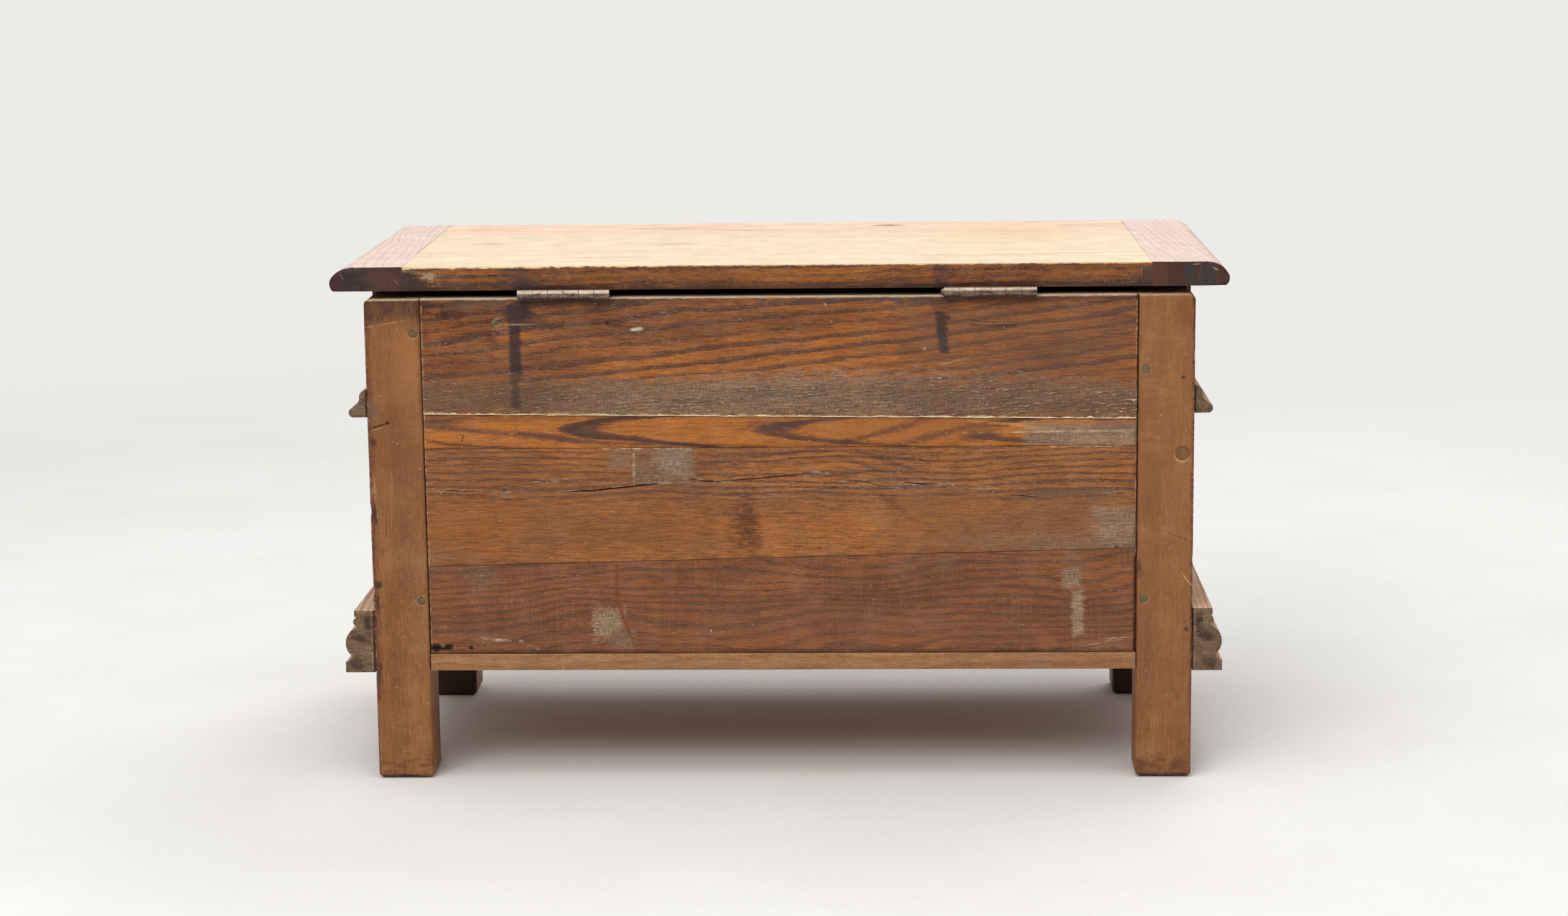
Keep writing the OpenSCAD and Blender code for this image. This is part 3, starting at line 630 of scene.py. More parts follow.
def wood(name, axes, light, dark, seed, spacing=11.0, pith=(0.0, 60.0), slope=0.0,
         taper=0.02, wander=(12.0, 3.0), knots=(), band=0.9, band_zone=None, streak=0.5, pores=0.6,
         limed=0.3, late=(0.28, 0.78), blotch=None, blotch_share=0.5, end_light=None,
         end_dark=None, end_rings=0.6, arris=None, arris_share=0.6, dust=0.12,
         dust_colour=0x8c7662, specks=0.0, marks=(), saw=0.0, rough=(0.5, 0.75), bump=1.0,
         top=None, torn_slope=0.0, smears=()):
    """A solid wood: its rings run round a pith line along the grain axis, so that faces, edges
    and end grain all show the same log. axes are those along the grain, across it and through
    the board. pith is the pith's place across and through it, slope is how far the grain climbs
    along it, torn_slope how far the splinters of its sawn marks fall, and top gives faces that
    look up paler, flatter colours, a painted highlight of the light from above. Marks lie in x
    and z on the rear face, and smears in x and y on top."""
    net = Surface(name)
    grain, across, thick = axes
    p = {"x": net.x, "y": net.y, "z": net.z}
    n = {"x": net.nx, "y": net.ny, "z": net.nz}
    b = p[across]
    q, field = ring_field(net, p[grain], b, p[thick], seed, pith, slope, taper, wander, knots)
    dark_part, year = year_rings(net, field, spacing, seed, late)

    dash = net.noise(q, (20, 1.4, 1.4), 4, 0.72)
    fibre = net.noise(q, (24, 1.5, 1.5), 6, 0.76)
    fine = net.noise(q, (8, 0.45, 0.45), 3, 0.7)
    pore = net.step(net.noise(q, (6, 0.40, 0.40), 1), 0.60, 0.68)
    cloud = net.noise(q, (150, 40, 40), 3, 0.55)

    weight = net.times(dark_part, year)
    if band_zone is not None:
        low, high, least = band_zone
        weight = net.times(weight, net.scaled(net.step(b, low, high), 1.0 - least, least))
    density = net.madd(dash, 1.9, net.scaled(weight, 0.95, -0.95))
    dark_share = net.product(net.step(density, 0.20, 0.46), band, net.scaled(weight, 0.5, 0.5))

    patchy = net.times(net.step(cloud, 0.36, 0.66), blotch_share)
    colour = net.mix(dark_share, net.mix(patchy, light, blotch or dark), dark)
    tone = wood_tone(net, fibre, fine, pore, streak, pores)
    # Painted highlight: faces that look up take the top colours and lose most of their grain tone,
    # as if bleached by the light from above.
    if top is not None:
        up = net.step(net.nz, 0.55, 0.85)
        top_light, top_dark, top_band = top
        lit_tops = net.mix(net.times(dark_share, top_band), top_light, top_dark)
        colour = net.mix(up, colour, lit_tops)
        tone = net.mix(up, tone, net.scaled(tone, 0.16, 0.84))
    colour = net.mix(1.0, colour, tone, "MULTIPLY")

    zone = net.patches((90, 60, 40), 3, 0.5, 0.42, 0.60)
    dusty = net.step(net.noise(q, (5, 0.5, 0.5), 2, 0.6), 0.58, 0.66)
    pale = net.product(dusty, net.madd(dark_share, 1.2, zone), limed)
    colour = net.mix(net.least(pale, 0.9), colour, 0xb49a84)

    end = net.step(net.size(n[grain]), 0.55, 0.9)
    if top is not None and grain == "z":
        end = net.minus(end, up, clamp=True)
    if end_light is not None:
        colour = end_grain(net, end, colour, net.times(dark_part, end_rings), end_light, end_dark)

    grime = net.noise(net.place, (38, 38, 38), 5, 0.62)
    shade = 1.0 if top is None else net.minus(1.0, up)
    colour = net.mix(net.product(net.step(grime, 0.46, 0.68), dust, shade), colour, dust_colour)
    colour = net.mix(1.0, colour, net.scaled(grime, 0.5, 0.75), "MULTIPLY")
    if arris is not None:
        worn = net.step(net.worn(), 0.15, 0.75)
        colour = net.mix(net.product(worn, arris_share, net.minus(1.0, end)), colour, arris)

    height = net.madd(dark_share, -0.16, net.scaled(dark_part, -0.06))
    height = net.madd(pore, -0.18 * pores, height)
    height = net.madd(fibre, 0.35 * streak, height)
    height = net.madd(fine, 0.22, height)
    if saw > 0.0:
        colour, height = saw_kerfs(net, colour, height, dark, saw)

    if marks:
        tear = (4, 8, 12) if grain == "z" else TEAR
        colour, height = paint_marks(net, net.x, net.z, net.step(net.ny, 0.2, 0.5), marks, colour,
                                     height, dash, torn_slope, tear)
    if smears:
        colour, height = paint_marks(net, net.x, net.y, up, smears, colour, height, dash, 0.0,
                                     TEAR)
    if specks > 0.0:
        colour = splashes(net, colour, specks)
    return net.finish(colour, net.scaled(fibre, rough[1] - rough[0], rough[0]), height, bump,
                      specular=0.22)


# The woods. A knot is x, z, its reach along and across, and its push.

OAK_DARK = 0x46302a
PURPLE = 0x483436
SAWN = 0x86634c
CREAM = 0xe8d2ac
PALE = 0xc4ac90
SOOT = 0x32282a
RED_DARK = 0x46261e
# Top colours for the back boards: a painted highlight on their top faces and ledge, which lie in the
# lid's shade.
LIT_LEDGE = (0xe4ceb2, 0xb0967a, 0.5)


BACK = dict(axes="xzy", dust=0.14, specks=0.3, arris=0xb0926c, arris_share=0.5)
ENDS = [box(side * 387.0, 330, 0.6, 200, 0.5, 1.6, 0xbea67e, 0.6, "worn") for side in (1, -1)]

BACK_1_MARKS = [
    box(-262, 486, 124, 44, 20, 22, 0x6c4c3c, 0.75, "dashed", 2),
    box(372, 524, 30, 12, 4, 9, 0x321e1a, 0.85, "worn"),
    box(352, 510, 44, 20, 5, 12, RED_DARK, 0.85, "dashed"),
    box(328, 530, 34, 6, 2, 6, 0x705a4c, 0.6, "worn"),
    oval(366, 501, 20, 6, 4, 7, 0xa86224, 0.6, "worn"),
    box(0, 533, 400, 3.5, 2.5, 7, 0x422a24, 0.75, "dashed"),
    box(-20, 532.5, 50, 3.2, 1.6, 5, 0x524244, 0.9, "worn"),
    box(-129, 532.5, 38, 3.2, 1.6, 5, 0x524244, 0.9, "worn"),
    box(0, 423, 400, 17, 5, 14, SAWN, 1.0, "torn", 0.66),
    oval(40, 436, 190, 12, 8, 24, 0xa88266, 1.0, "torn", -2.0),
    oval(50, 424, 230, 16, 8, 24, 0xaa866a, 0.9, "torn"),
    oval(-270, 430, 120, 12, 8, 24, 0x967258, 1.0, "torn", 0.66),
    oval(322, 428, 84, 20, 12, 24, 0x744a30, 0.75, "dashed"),
    streak(286, 510, 285.8, 455, 6.4, 1.6, 4, SOOT, 0.85, "plain", "box"),
    streak(285.8, 458, 286.4, 415, 5.0, 2, 5, 0x3e3436, 0.6, "plain", "box"),
    oval(281, 520, 17, 14, 5, 14, SOOT, 0.88),
    oval(262, 508, 16, 5, 3, 8, SOOT, 0.7, "dashed"),
    box(212, 532, 62, 6, 3, 8, 0x342626, 0.75, "dashed"),
    streak(269, 508.3, 295, 507.8, 0.5, 0.4, 1.2, PALE, 0.6),
    streak(-175.0, 521, -177.6, 496, 6.0, 1.6, 5, 0x3e2c2a, 0.85, "plain", "box"),
    streak(-177.0, 500, -179.5, 473, 5.0, 1.4, 4, 0x3a3638, 0.85, "plain", "box"),
    oval(-182, 512.5, 5.5, 3, 1.6, 4, 0x3c2b29, 0.8),
    oval(-177, 529, 15, 8, 4, 9, 0x422c26, 0.8, "dashed"),
    oval(185, 508.7, 1.9, 2.1, 0.7, 0.6, 0x22242c, 0.95, "pit"),
    streak(184, 507.5, 160, 504.8, 1.1, 0.8, 2.5, 0x3e2a26, 0.75),
    streak(159.6, 501.2, 148.2, 502.8, 1.6, 0.5, 2.0, 0xd0bea0, 0.9),
    streak(-49.9, 529.6, -52.6, 526, 0.5, 0.3, 0.8, 0xccb89c, 0.8),
    oval(-158.2, 479, 1.9, 1.7, 0.5, 0.8, PALE, 0.55),
    streak(-173, 461, -208, 469, 0.8, 0.5, 2.2, PALE, 0.6, "dashed"),
    box(0, 406.9, 400, 0.9, 0.5, 2.6, CREAM, 0.9, "worn", 0.664),
    # Painted highlight: a pale strip along the board's top edge, where light catches it below the
    # lid.
    box(0, 536.7, 400, 1.3, 0.7, 1.8, 0xd4be9e, 0.85),
    *ENDS,
]
back_1 = wood(
    "back_oak_1", light=0xa8642b, dark=0x4a322b, seed=1.0, spacing=11.5,
    pith=(900.0, 0.0), slope=-0.105, taper=0.0, wander=(9.0, 2.2), blotch=0x6a4028,
    blotch_share=0.75, streak=0.62, top=LIT_LEDGE, limed=0.34, late=(0.35, 0.8), band=0.85,
    torn_slope=0.075,
    knots=[(330, 492, 46, 26, 16), (372, 470, 40, 30, -10), (230, 470, 60, 26, 8)],
    marks=BACK_1_MARKS, **BACK)

BACK_2_MARKS = [
    oval(-152, 391, 78, 17, 6, 14, 0xaa6834, 0.8),
    oval(370, 402, 24, 6, 5, 5, 0x583e36, 0.8, "plain", 3),
    streak(389, 396.5, 296, 388.0, 2.4, 1.8, 2.6, PURPLE, 0.75, "plain"),
    streak(300, 389.5, 196, 377.6, 3.4, 1.8, 3.0, PURPLE, 0.8, "plain"),
    streak(205, 378, 60, 373.4, 1.8, 1.4, 2.2, PURPLE, 0.7, "plain"),
    streak(385, 403, 200, 406, 2.4, 2, 6, 0x543a32, 0.7, "dashed"),
    oval(6, 396, 34, 6.0, 3, 8, PURPLE, 0.8, "dashed", -2),
    streak(-50, 373, -96, 383, 3.8, 1.8, 6, PURPLE, 0.95, "dashed"),
    streak(-90, 381, -158, 401, 3.8, 1.8, 6, PURPLE, 0.95, "dashed"),
    streak(-124, 372, -212, 396, 3.6, 1.8, 6, PURPLE, 0.9, "dashed"),
    streak(-194, 379, -240, 385, 4.6, 2, 6, PURPLE, 0.9, "dashed"),
    box(-334, 383, 66, 12, 6, 14, 0xa0846c, 0.95, "sawn", 1),
    box(-370, 396, 28, 6, 4, 10, 0x706056, 0.7, "dashed"),
    streak(-216, 399, -284, 392, 1.6, 1.0, 3, 0xe2a454, 0.8, "dashed"),
    streak(-244, 387, -388, 388, 0.8, 0.5, 2.2, CREAM, 0.7, "dashed"),
    streak(348, 376.8, 344.7, 386.6, 0.6, 0.4, 1.0, 0x3c2822, 0.9),
    *ENDS,
]
back_2 = wood(
    "back_oak_2", light=0xb46d2f, dark=0x422e2c, seed=2.0, spacing=9.6,
    pith=(391.0, 254.8), slope=0.0, taper=0.045, wander=(5.0, 1.6), band=0.95,
    blotch=0x9a5e30, streak=0.42, limed=0.1, late=(0.62, 0.88), torn_slope=0.02,
    marks=BACK_2_MARKS, **BACK)

# The drying cracks of the third board: their paths, half widths and depths.
CRACKS = [
    ([(388, 326.5), (350, 325), (312, 323.6)], 0.9, 4.0),
    ([(292, 330.5), (264, 333), (236, 337)], 0.6, 3.0),
    ([(242, 322.5), (200, 325), (160, 329), (130, 332.5)], 1.7, 6.0),
    ([(100, 337), (80, 334.5), (63, 334.5)], 1.1, 5.0),
    ([(63, 334.5), (30, 337), (0, 339.5), (-32, 342)], 1.3, 5.0),
    ([(-64, 335.5), (-85, 333.5), (-104, 330), (-121, 327)], 0.7, 4.0),
    ([(-134, 332), (-154, 330.5), (-174, 330.5)], 1.3, 4.0),
    ([(-203, 327), (-232, 326)], 0.6, 3.0),
    ([(-246, 318), (-285, 315)], 0.9, 4.0),
    ([(-355, 319), (-388, 318)], 0.6, 3.0),
]

BACK_3_MARKS = [
    box(-250, 288, 138, 40, 20, 22, 0x7a543e, 0.5, "dashed", 2),
    box(240, 300, 160, 56, 30, 30, 0x7e4c2e, 0.5, "dashed"),
    streak(-84, 368, -162, 341, 2.0, 1.4, 4, PURPLE, 0.7, "dashed"),
    streak(-75, 359, -134, 335, 1.8, 1.4, 4, PURPLE, 0.65, "dashed"),
    streak(-100, 329, -133, 301, 3.0, 2.0, 7, 0x603422, 0.6, "dashed"),
    streak(90, 351, -27, 368, 1.8, 1.4, 4, PURPLE, 0.6, "dashed"),
    box(128, 351, 31, 20, 3, 9, 0x927056, 0.75, "sawn"),
    box(114, 358, 17, 14, 5, 12, 0xb0967c, 0.9, "sawn"),
    oval(146, 363, 11, 7, 3, 8, 0x86482a, 0.7, "worn"),
    box(159, 351, 1.3, 20, 0.8, 2.5, 0xc6b294, 0.85, "worn"),
    box(174, 360, 12, 11, 3, 8, 0x96765c, 0.55, "sawn"),
    box(140, 371.2, 52, 0.7, 0.4, 1.8, CREAM, 0.7, "worn"),
    box(-338, 371.2, 50, 0.6, 0.4, 1.8, CREAM, 0.6, "worn"),
    box(-368, 276, 24, 25, 8, 18, 0xa4886c, 0.85, "sawn"),
    oval(-310, 262, 84, 8, 6, 18, 0x96765a, 0.7, "sawn", 2),
    oval(40, 290, 11, 28, 5, 20, 0x3e1c1a, 0.85, "dashed", 10),
    oval(30, 268, 8, 20, 4, 14, 0x40221c, 0.7, "dashed"),
    oval(60, 300, 24, 5, 4, 9, 0x542e22, 0.6, "dashed"),
    oval(302, 324.5, 4.5, 5, 1.5, 4, 0x887058, 0.7, "worn"),
    oval(301.5, 325, 1.9, 2.0, 0.9, 3.0, 0x342a26, 0.8, "pit"),
    oval(-33, 343, 9, 7, 2.5, 7, 0x967e68, 0.7, "worn"),
    oval(-34, 341.8, 1.8, 1.4, 0.8, 3.0, 0x322824, 0.8, "pit"),
    oval(104, 327, 4.5, 5, 1.5, 4, 0x786254, 0.6, "worn"),
    *[streak(*path[0], *path[-1], 1.1, 0.6, 4, PALE, 0.55, "worn") for path, *_ in CRACKS],
    streak(60, 362, -60, 368, 1.6, 1.2, 4, PURPLE, 0.7, "dashed"),
    streak(-60, 368, -160, 356, 1.6, 1.2, 4, PURPLE, 0.7, "dashed"),
    streak(120, 347, -50, 358, 1.4, 1.2, 4, PURPLE, 0.6, "dashed"),
    streak(180, 331, 60, 322, 0.5, 0.4, 1.6, 0x3c2a24, 0.7, "dashed"),
    oval(-300, 318, 60, 5, 3, 9, 0x584642, 0.7, "dashed", -3),
    box(200, 247, 190, 0.7, 0.7, 2.5, 0xa08062, 0.5, "dashed", 1.3),
    box(-200, 244, 190, 0.9, 0.7, 2.5, 0xaa8c6e, 0.8, "dashed", 1.3),
    *ENDS,
]
back_3 = wood(
    "back_oak_3", light=0xa26430, dark=0x4a322a, seed=3.0, spacing=5.6,
    pith=(150.0, 60.0), slope=0.012, taper=0.01, wander=(9.0, 2.0), band=0.8,
    band_zone=(300.0, 336.0, 0.3), blotch=0x825638, blotch_share=0.6, saw=0.25,
    limed=0.4, streak=0.68,
    knots=[(299, 324, 40, 20, 9), (-40, 343, 80, 24, 14), (-150, 348, 90, 30, -12)],
    marks=BACK_3_MARKS, **BACK)

DRIP = ((179.5, 239.3), (180.5, 220.6), (179.6, 200.5), (173.5, 180.3), (163.5, 154.8))
SPLIT = ((-319.4, 146.6), (-354.1, 152.8), (-363.6, 157.7), (-386.7, 158.7))
ARC = ((325.8, 158.6), (295.5, 157.2), (274.5, 150.4), (266.8, 146.3))
BACK_4_MARKS = [
    oval(-100, 170, 190, 22, 16, 20, 0x925e3c, 0.35, "dashed", 3),
    box(190, 175, 14, 15, 5, 16, 0xb09476, 0.9, "sawn"),
    box(175, 158, 12, 9, 4, 14, 0x9c7c62, 0.7, "sawn"),
    *trail(DRIP, 1.5, 0.9, 3, 0x7e381c, 0.75),
    box(-325, 186, 5.8, 25, 2, 7, 0xac8e70, 1.0, "sawn"),
    box(-318.3, 226, 9, 12, 3, 10, 0xa88a6c, 0.9, "sawn"),
    box(-318, 245, 8.5, 7, 4, 10, 0x947258, 0.6, "sawn"),
    oval(-291, 153, 12, 9, 3, 8, 0x986240, 0.6, "plain", 10),
    oval(330, 230, 13, 8, 6, 16, 0x8c7058, 0.6, "sawn"),
    oval(376, 149.4, 14, 5.2, 1.2, 5, 0xa07c5c, 0.5),
    oval(382, 148.6, 6, 4.2, 1.0, 4, 0x1a1414, 1.0, "pit"),
    oval(368, 149.4, 5, 3.4, 1.0, 4, 0x1c1614, 1.0, "pit"),
    oval(375, 147.4, 8, 1.6, 0.8, 3, 0x1e1616, 0.9, "pit"),
    oval(342.9, 148.5, 2.0, 2.0, 0.6, 0.8, 0x1a1414, 1.0, "pit"),
    *trail(ARC, 1.2, 0.8, 3.5, 0xceb494, 0.8, "worn"),
    oval(206.3, 168.7, 0.8, 0.8, 0.4, 0.4, CREAM, 0.9),
    oval(77.5, 167.3, 0.8, 0.8, 0.4, 0.4, CREAM, 0.9),
    oval(-350, 149, 34, 5, 2.0, 6, 0x967054, 0.5, "plain", -3),
    *trail(SPLIT, 0.55, 0.5, 1.6, 0xc49e76, 0.8),
    streak(-340, 149, -302, 144.8, 0.7, 0.6, 2.4, 0x3a2822, 0.7),
    # Painted shadow: a dark line along the board's lower edge, for the gap above the bottom board.
    box(0, 144.5, 400, 1.6, 1.5, 5, 0x3a2822, 0.7, "dashed"),
    *ENDS,
]
back_4 = wood(
    "back_oak_4", light=0x8e5632, dark=0x4e342a, seed=4.0, spacing=8.5,
    pith=(60.0, 150.0), slope=0.02, taper=0.05, wander=(22.0, 2.0), band=0.55,
    blotch=0x764c34, blotch_share=0.6, saw=0.9, limed=0.25, streak=0.5,
    marks=BACK_4_MARKS, **BACK)

# The posts' top colours are a painted highlight on their upward faces.
POST = dict(axes="zxy", light=0x94623a, dark=0x7a4c2c, spacing=19.0,
            band=0.4, streak=0.34, limed=0.08, blotch=0x7e4e2e, wander=(10.0, 1.5), pores=0.35,
            dust=0.3, dust_colour=0xa47c58, specks=0.7, rough=(0.42, 0.62),
            arris=0x5c3226, arris_share=0.75, end_light=0x785436, end_dark=0x543826,
            bump=0.6, top=(0xb29474, 0x8c6e52, 0.5))
ARRIS = 0x562a22
BITE = 0x3e2c24
SCRATCH = 0xb68860

RIGHT_POST_MARKS = [
    box(447.6, 330, 4.0, 240, 2.5, 8, 0x643624, 0.6),
    box(449.4, 330, 2.2, 240, 1.2, 4, ARRIS, 0.9),
    box(402, 330, 7, 190, 6, 16, 0x7c5840, 0.35, "worn"),
    box(423, 420, 40, 110, 40, 30, 0x7a4a2c, 0.45),
    oval(396.5, 498.8, 5.7, 5.7, 0.8, 2.0, 0xc0986e, 0.6),
    oval(396.5, 202, 5.7, 5.7, 0.8, 2.0, 0xc0986e, 0.6),
    box(449, 330, 1.0, 240, 0.6, 4, SCRATCH, 0.6, "worn"),
    streak(445.4, 395.1, 430, 399.5, 0.8, 0.5, 1.0, 0x321e18, 0.95, "pit"),
    oval(427.5, 400.8, 2.2, 1.8, 0.5, 1.0, 0x321e18, 0.95, "pit"),
    streak(444, 392.6, 432, 396.4, 0.6, 0.4, 0.9, SCRATCH, 0.7),
    oval(443.5, 416, 5, 9, 2, 6, 0x74604e, 0.6),
    oval(443.5, 379, 3.4, 4.5, 1.4, 3, 0x542c22, 0.85),
    oval(444, 326, 1.6, 13, 1.2, 4, 0xc4986e, 0.5),
    streak(425, 330, 426, 296, 0.5, 0.4, 1.6, SCRATCH, 0.5),
    oval(445, 302, 3.0, 12, 1.2, 6, BITE, 0.85),
    oval(444.3, 219.7, 4.5, 5, 1.2, 4, BITE, 0.9),
    streak(444.4, 215, 444.5, 191.6, 1.6, 0.8, 2.5, BITE, 0.7),
    oval(445, 120, 3, 10, 1.5, 6, BITE, 0.7),
    box(420, 530, 40, 17, 6, 18, 0x503428, 0.9),
    oval(400, 526, 12, 20, 4, 9, 0x4c3228, 0.7),
    oval(436, 520, 8, 10, 4, 12, 0x785432, 0.6, "worn"),
    streak(438, 508, 408, 513, 0.6, 0.5, 3.0, SCRATCH, 0.6),
    # Painted highlight: a pale strip along the post's top edge, where light catches it below the
    # lid.
    box(420, 536.6, 40, 1.5, 0.7, 1.8, 0xceb490, 0.8),
    box(420, 14, 36, 12, 8, 16, 0x603c26, 0.55, "worn"),
    oval(404, 470, 16, 44, 12, 20, 0xb47a46, 0.5),
    oval(415, 340, 14, 70, 12, 24, 0x7e5436, 0.4, "worn"),
    streak(423.9, 168.3, 418.8, 155.6, 0.5, 0.4, 1.4, SCRATCH, 0.5),
    oval(409, 168, 9, 0.4, 0.4, 1.4, SCRATCH, 0.35, "plain", 60),
]
post_rear_right = wood(
    "post_wood_rear_right", seed=11.0, pith=(300.0, 500.0), taper=0.01,
    marks=RIGHT_POST_MARKS, **POST)

LEFT_POST_MARKS = [
    oval(-420, 400, 60, 200, 60, 20, 0xa66e42, 0.35),
    # Painted highlight: a pale strip along the post's top edge, where light catches it below the
    # lid.
    box(-420, 536.6, 40, 1.5, 0.7, 1.8, 0xc4a882, 0.7),
    box(-404, 300, 9, 210, 8, 18, 0x7c563c, 0.35, "worn"),
    box(-449.4, 330, 2.0, 240, 1.2, 4, ARRIS, 0.85),
    oval(-396.5, 455.8, 5.5, 5.5, 0.8, 2.0, 0xba946c, 0.5),
    oval(-396.5, 202, 5.5, 5.5, 0.8, 2.0, 0xba946c, 0.5),
    box(-449, 330, 1.0, 240, 0.6, 4, SCRATCH, 0.6, "worn"),
    oval(-436.4, 361.0, 8.2, 8.2, 0.8, 1.2, 0xc49c6e, 0.7),
    oval(-437.0, 363.0, 7.4, 7.4, 0.8, 0.8, 0x8c5c38, 0.95),
    streak(-417.4, 277.4, -447.9, 264.9, 0.45, 0.35, 1.2, 0x543222, 0.7),
    streak(-437.8, 229.9, -448.5, 216.4, 0.6, 0.35, 1.2, 0xcca276, 0.8),
    streak(-416, 346, -421, 294, 0.4, 0.35, 1.2, SCRATCH, 0.4),
    oval(-443.2, 167.6, 2.0, 2.2, 0.8, 1.2, BITE, 0.85),
    oval(-418, 278, 4, 7, 1.4, 4, 0xb48a62, 0.4, "worn", 10),
    oval(-402, 487, 10, 22, 10, 14, 0xac7a4e, 0.35),
    oval(-437, 446, 1.6, 1.6, 0.5, 0.6, 0x462e22, 0.9, "pit"),
    oval(-410, 430, 14, 80, 12, 24, 0x805636, 0.4, "worn"),
    oval(-438, 518, 12, 18, 6, 14, 0x804628, 0.6),
    box(-420, 13, 34, 9, 5, 14, 0x5e3a26, 0.6, "worn", 3),
    oval(-392, 235, 3, 8, 1.5, 5, 0x422c22, 0.6),
]
post_rear_left = wood(
    "post_wood_rear_left", seed=12.0, pith=(-320.0, 480.0), taper=-0.01,
    marks=LEFT_POST_MARKS, **POST)

# The front posts carry painted shade: their faces that look toward the back are darkened near the
# floor, where the chest shades them.
post_front = wood("post_wood_front", seed=13.0, pith=(0.0, -700.0), taper=0.01, marks=[
    box(0, 60, 470, 76, 14, 10, 0x241811, 0.9)], **{**POST, "top": None})

WALL = dict(light=0x92582c, dark=OAK_DARK, blotch=0x74482a, dust=0.12,
            arris=0x96704c, arris_share=0.4, end_light=0x78583c, end_dark=0x4c3426)

front_walls = [wood("wall_oak_front_%d" % i, axes="xzy", seed=20.0 + i,
                    pith=(90.0 + 150.0 * i, 120.0 * (-1) ** i), spacing=8.5 + i,
                    taper=0.03 + 0.02 * i, **WALL) for i in range(3)]
side_walls = [wood("wall_oak_side_%d" % i, axes="yzx", seed=30.0 + i,
                   pith=(70.0 + 170.0 * i, 900.0), spacing=9.0 + i, taper=0.05 - 0.02 * i,
                   **WALL) for i in range(3)]

bottom = wood("bottom_wood", axes="xyz", light=0xa67850,
              dark=0x825838, seed=40.0, spacing=9.0, pith=(0.0, -80.0), band=0.5,
              streak=0.3, blotch=0x9a6c48, dust=0.2, arris=0xc49c70,
              arris_share=0.4, saw=0.5, specks=0.05, limed=0.1, end_light=0x967050,
              end_dark=0x6e4e36)

MOULDING = dict(light=0xd6b094, dark=0x987056, band=0.6, blotch=0xc29676,
                dust=0.15, arris=0x604230, arris_share=0.5, end_light=0x84664c,
                end_dark=0x423028, end_rings=0.3, wander=(6.0, 1.4), streak=0.3, limed=0.1)
CUT_ENDS = [mark for side in (1, -1) for mark in (
    box(side * 466, 160, 20, 40, 2, 4, 0x886b50, 0.8, "torn"),
    box(side * 460, 422, 14, 20, 2, 4, 0x80664e, 0.8, "torn"),
    oval(side * 457, 177, 4, 8, 2, 6, 0x382828, 0.85),
    oval(side * 466, 160, 9, 4, 2, 6, 0x422e2a, 0.8, "plain", 20),
    oval(side * 470, 130, 10, 6, 2, 7, 0x48322c, 0.7, "plain", 20),
    box(side * 452.6, 160, 0.5, 40, 0.4, 1.2, 0xba9c70, 0.8, "worn"),
    # Painted shadow: a dark line where the moulding's end meets the post, for the gap between them.
    box(side * 450.6, 270, 0.9, 180, 0.5, 0.6, 0x281a18, 0.85))]
moulding_front = wood("moulding_wood_front", axes="xzy", seed=50.0,
                      spacing=6.0, pith=(150.0, -300.0), **MOULDING)

moulding_side = wood("moulding_wood_side", axes="yzx", seed=51.0,
                     spacing=6.0, pith=(150.0, 420.0), marks=CUT_ENDS, torn_slope=-1.2,
                     **MOULDING)

LID = dict(axes="xyz", light=0x8a4f20, dark=0x3a241a,
           blotch=0x583018, blotch_share=0.9, arris=0xcea874, arris_share=0.6,
           end_light=0x78583c, end_dark=0x503a2c, streak=0.8, rough=(0.36, 0.6), limed=0.3)
LID_MARKS = [
    oval(283, 560, 20, 16, 4, 14, SOOT, 0.9, "dashed"),
    oval(272, 551, 14, 6, 3, 8, 0x3a3234, 0.8),
    box(-176, 558, 8.5, 16, 1.5, 6, SOOT, 0.9, "dashed"),
    box(0, 547, 430, 2.6, 2, 6, 0x2c1e1c, 0.9, "dashed"),
    box(386, 561, 18, 6, 2, 12, 0xb09674, 0.8, "worn"),
    oval(396, 556, 10, 12, 3, 10, 0x342622, 0.8),
    box(402, 551, 22, 7, 4, 12, 0x3c2a24, 0.85),
    oval(-394, 556, 12, 10, 3, 10, 0x3a2822, 0.7),
    oval(60, 561, 200, 5, 4, 10, 0xbe7830, 0.6, "dashed"),
    oval(-330, 560, 70, 5, 4, 10, 0xb86e2e, 0.6, "dashed"),
    # Painted highlight: pale lines along the lid's top rear edge, where the light from above catches
    # it.
    box(0, 571.0, 420, 0.7, 0.5, 2.0, 0xe4c492, 0.9),
    oval(340, 570.8, 140, 1.1, 0.7, 2.0, 0xf0d69e, 0.9),
]
# Smears on the lid's top, with y in place of z.
SMEARS = [
    oval(-118.5, -180, 17, 9, 4, 8, 0x968070, 0.85),
    oval(123.5, 12, 23, 9, 5, 9, 0xceb292, 0.6),
    oval(340, 0, 17, 9, 5, 9, 0xceac86, 0.6),
    oval(-262, -90, 60, 80, 50, 30, 0xeec292, 0.5),
]
# The lid boards' pale top colours are a painted highlight: their upward faces as the light from
# above bleaches them.
lid_rear = wood("lid_wood_rear", seed=60.0, spacing=6.0, pith=(150.0, 480.0), taper=0.015,
                wander=(7.0, 0.6), marks=LID_MARKS, smears=SMEARS,
                top=(0xf3dfc0, 0xdeb88a, 0.5), **LID)

lid_front = wood("lid_wood_front", seed=61.0, spacing=10.0, pith=(-160.0, 500.0), taper=0.04,
                 wander=(16.0, 2.0), smears=SMEARS,
                 top=(0xf4d7bb, 0xe0b690, 0.6), **LID)

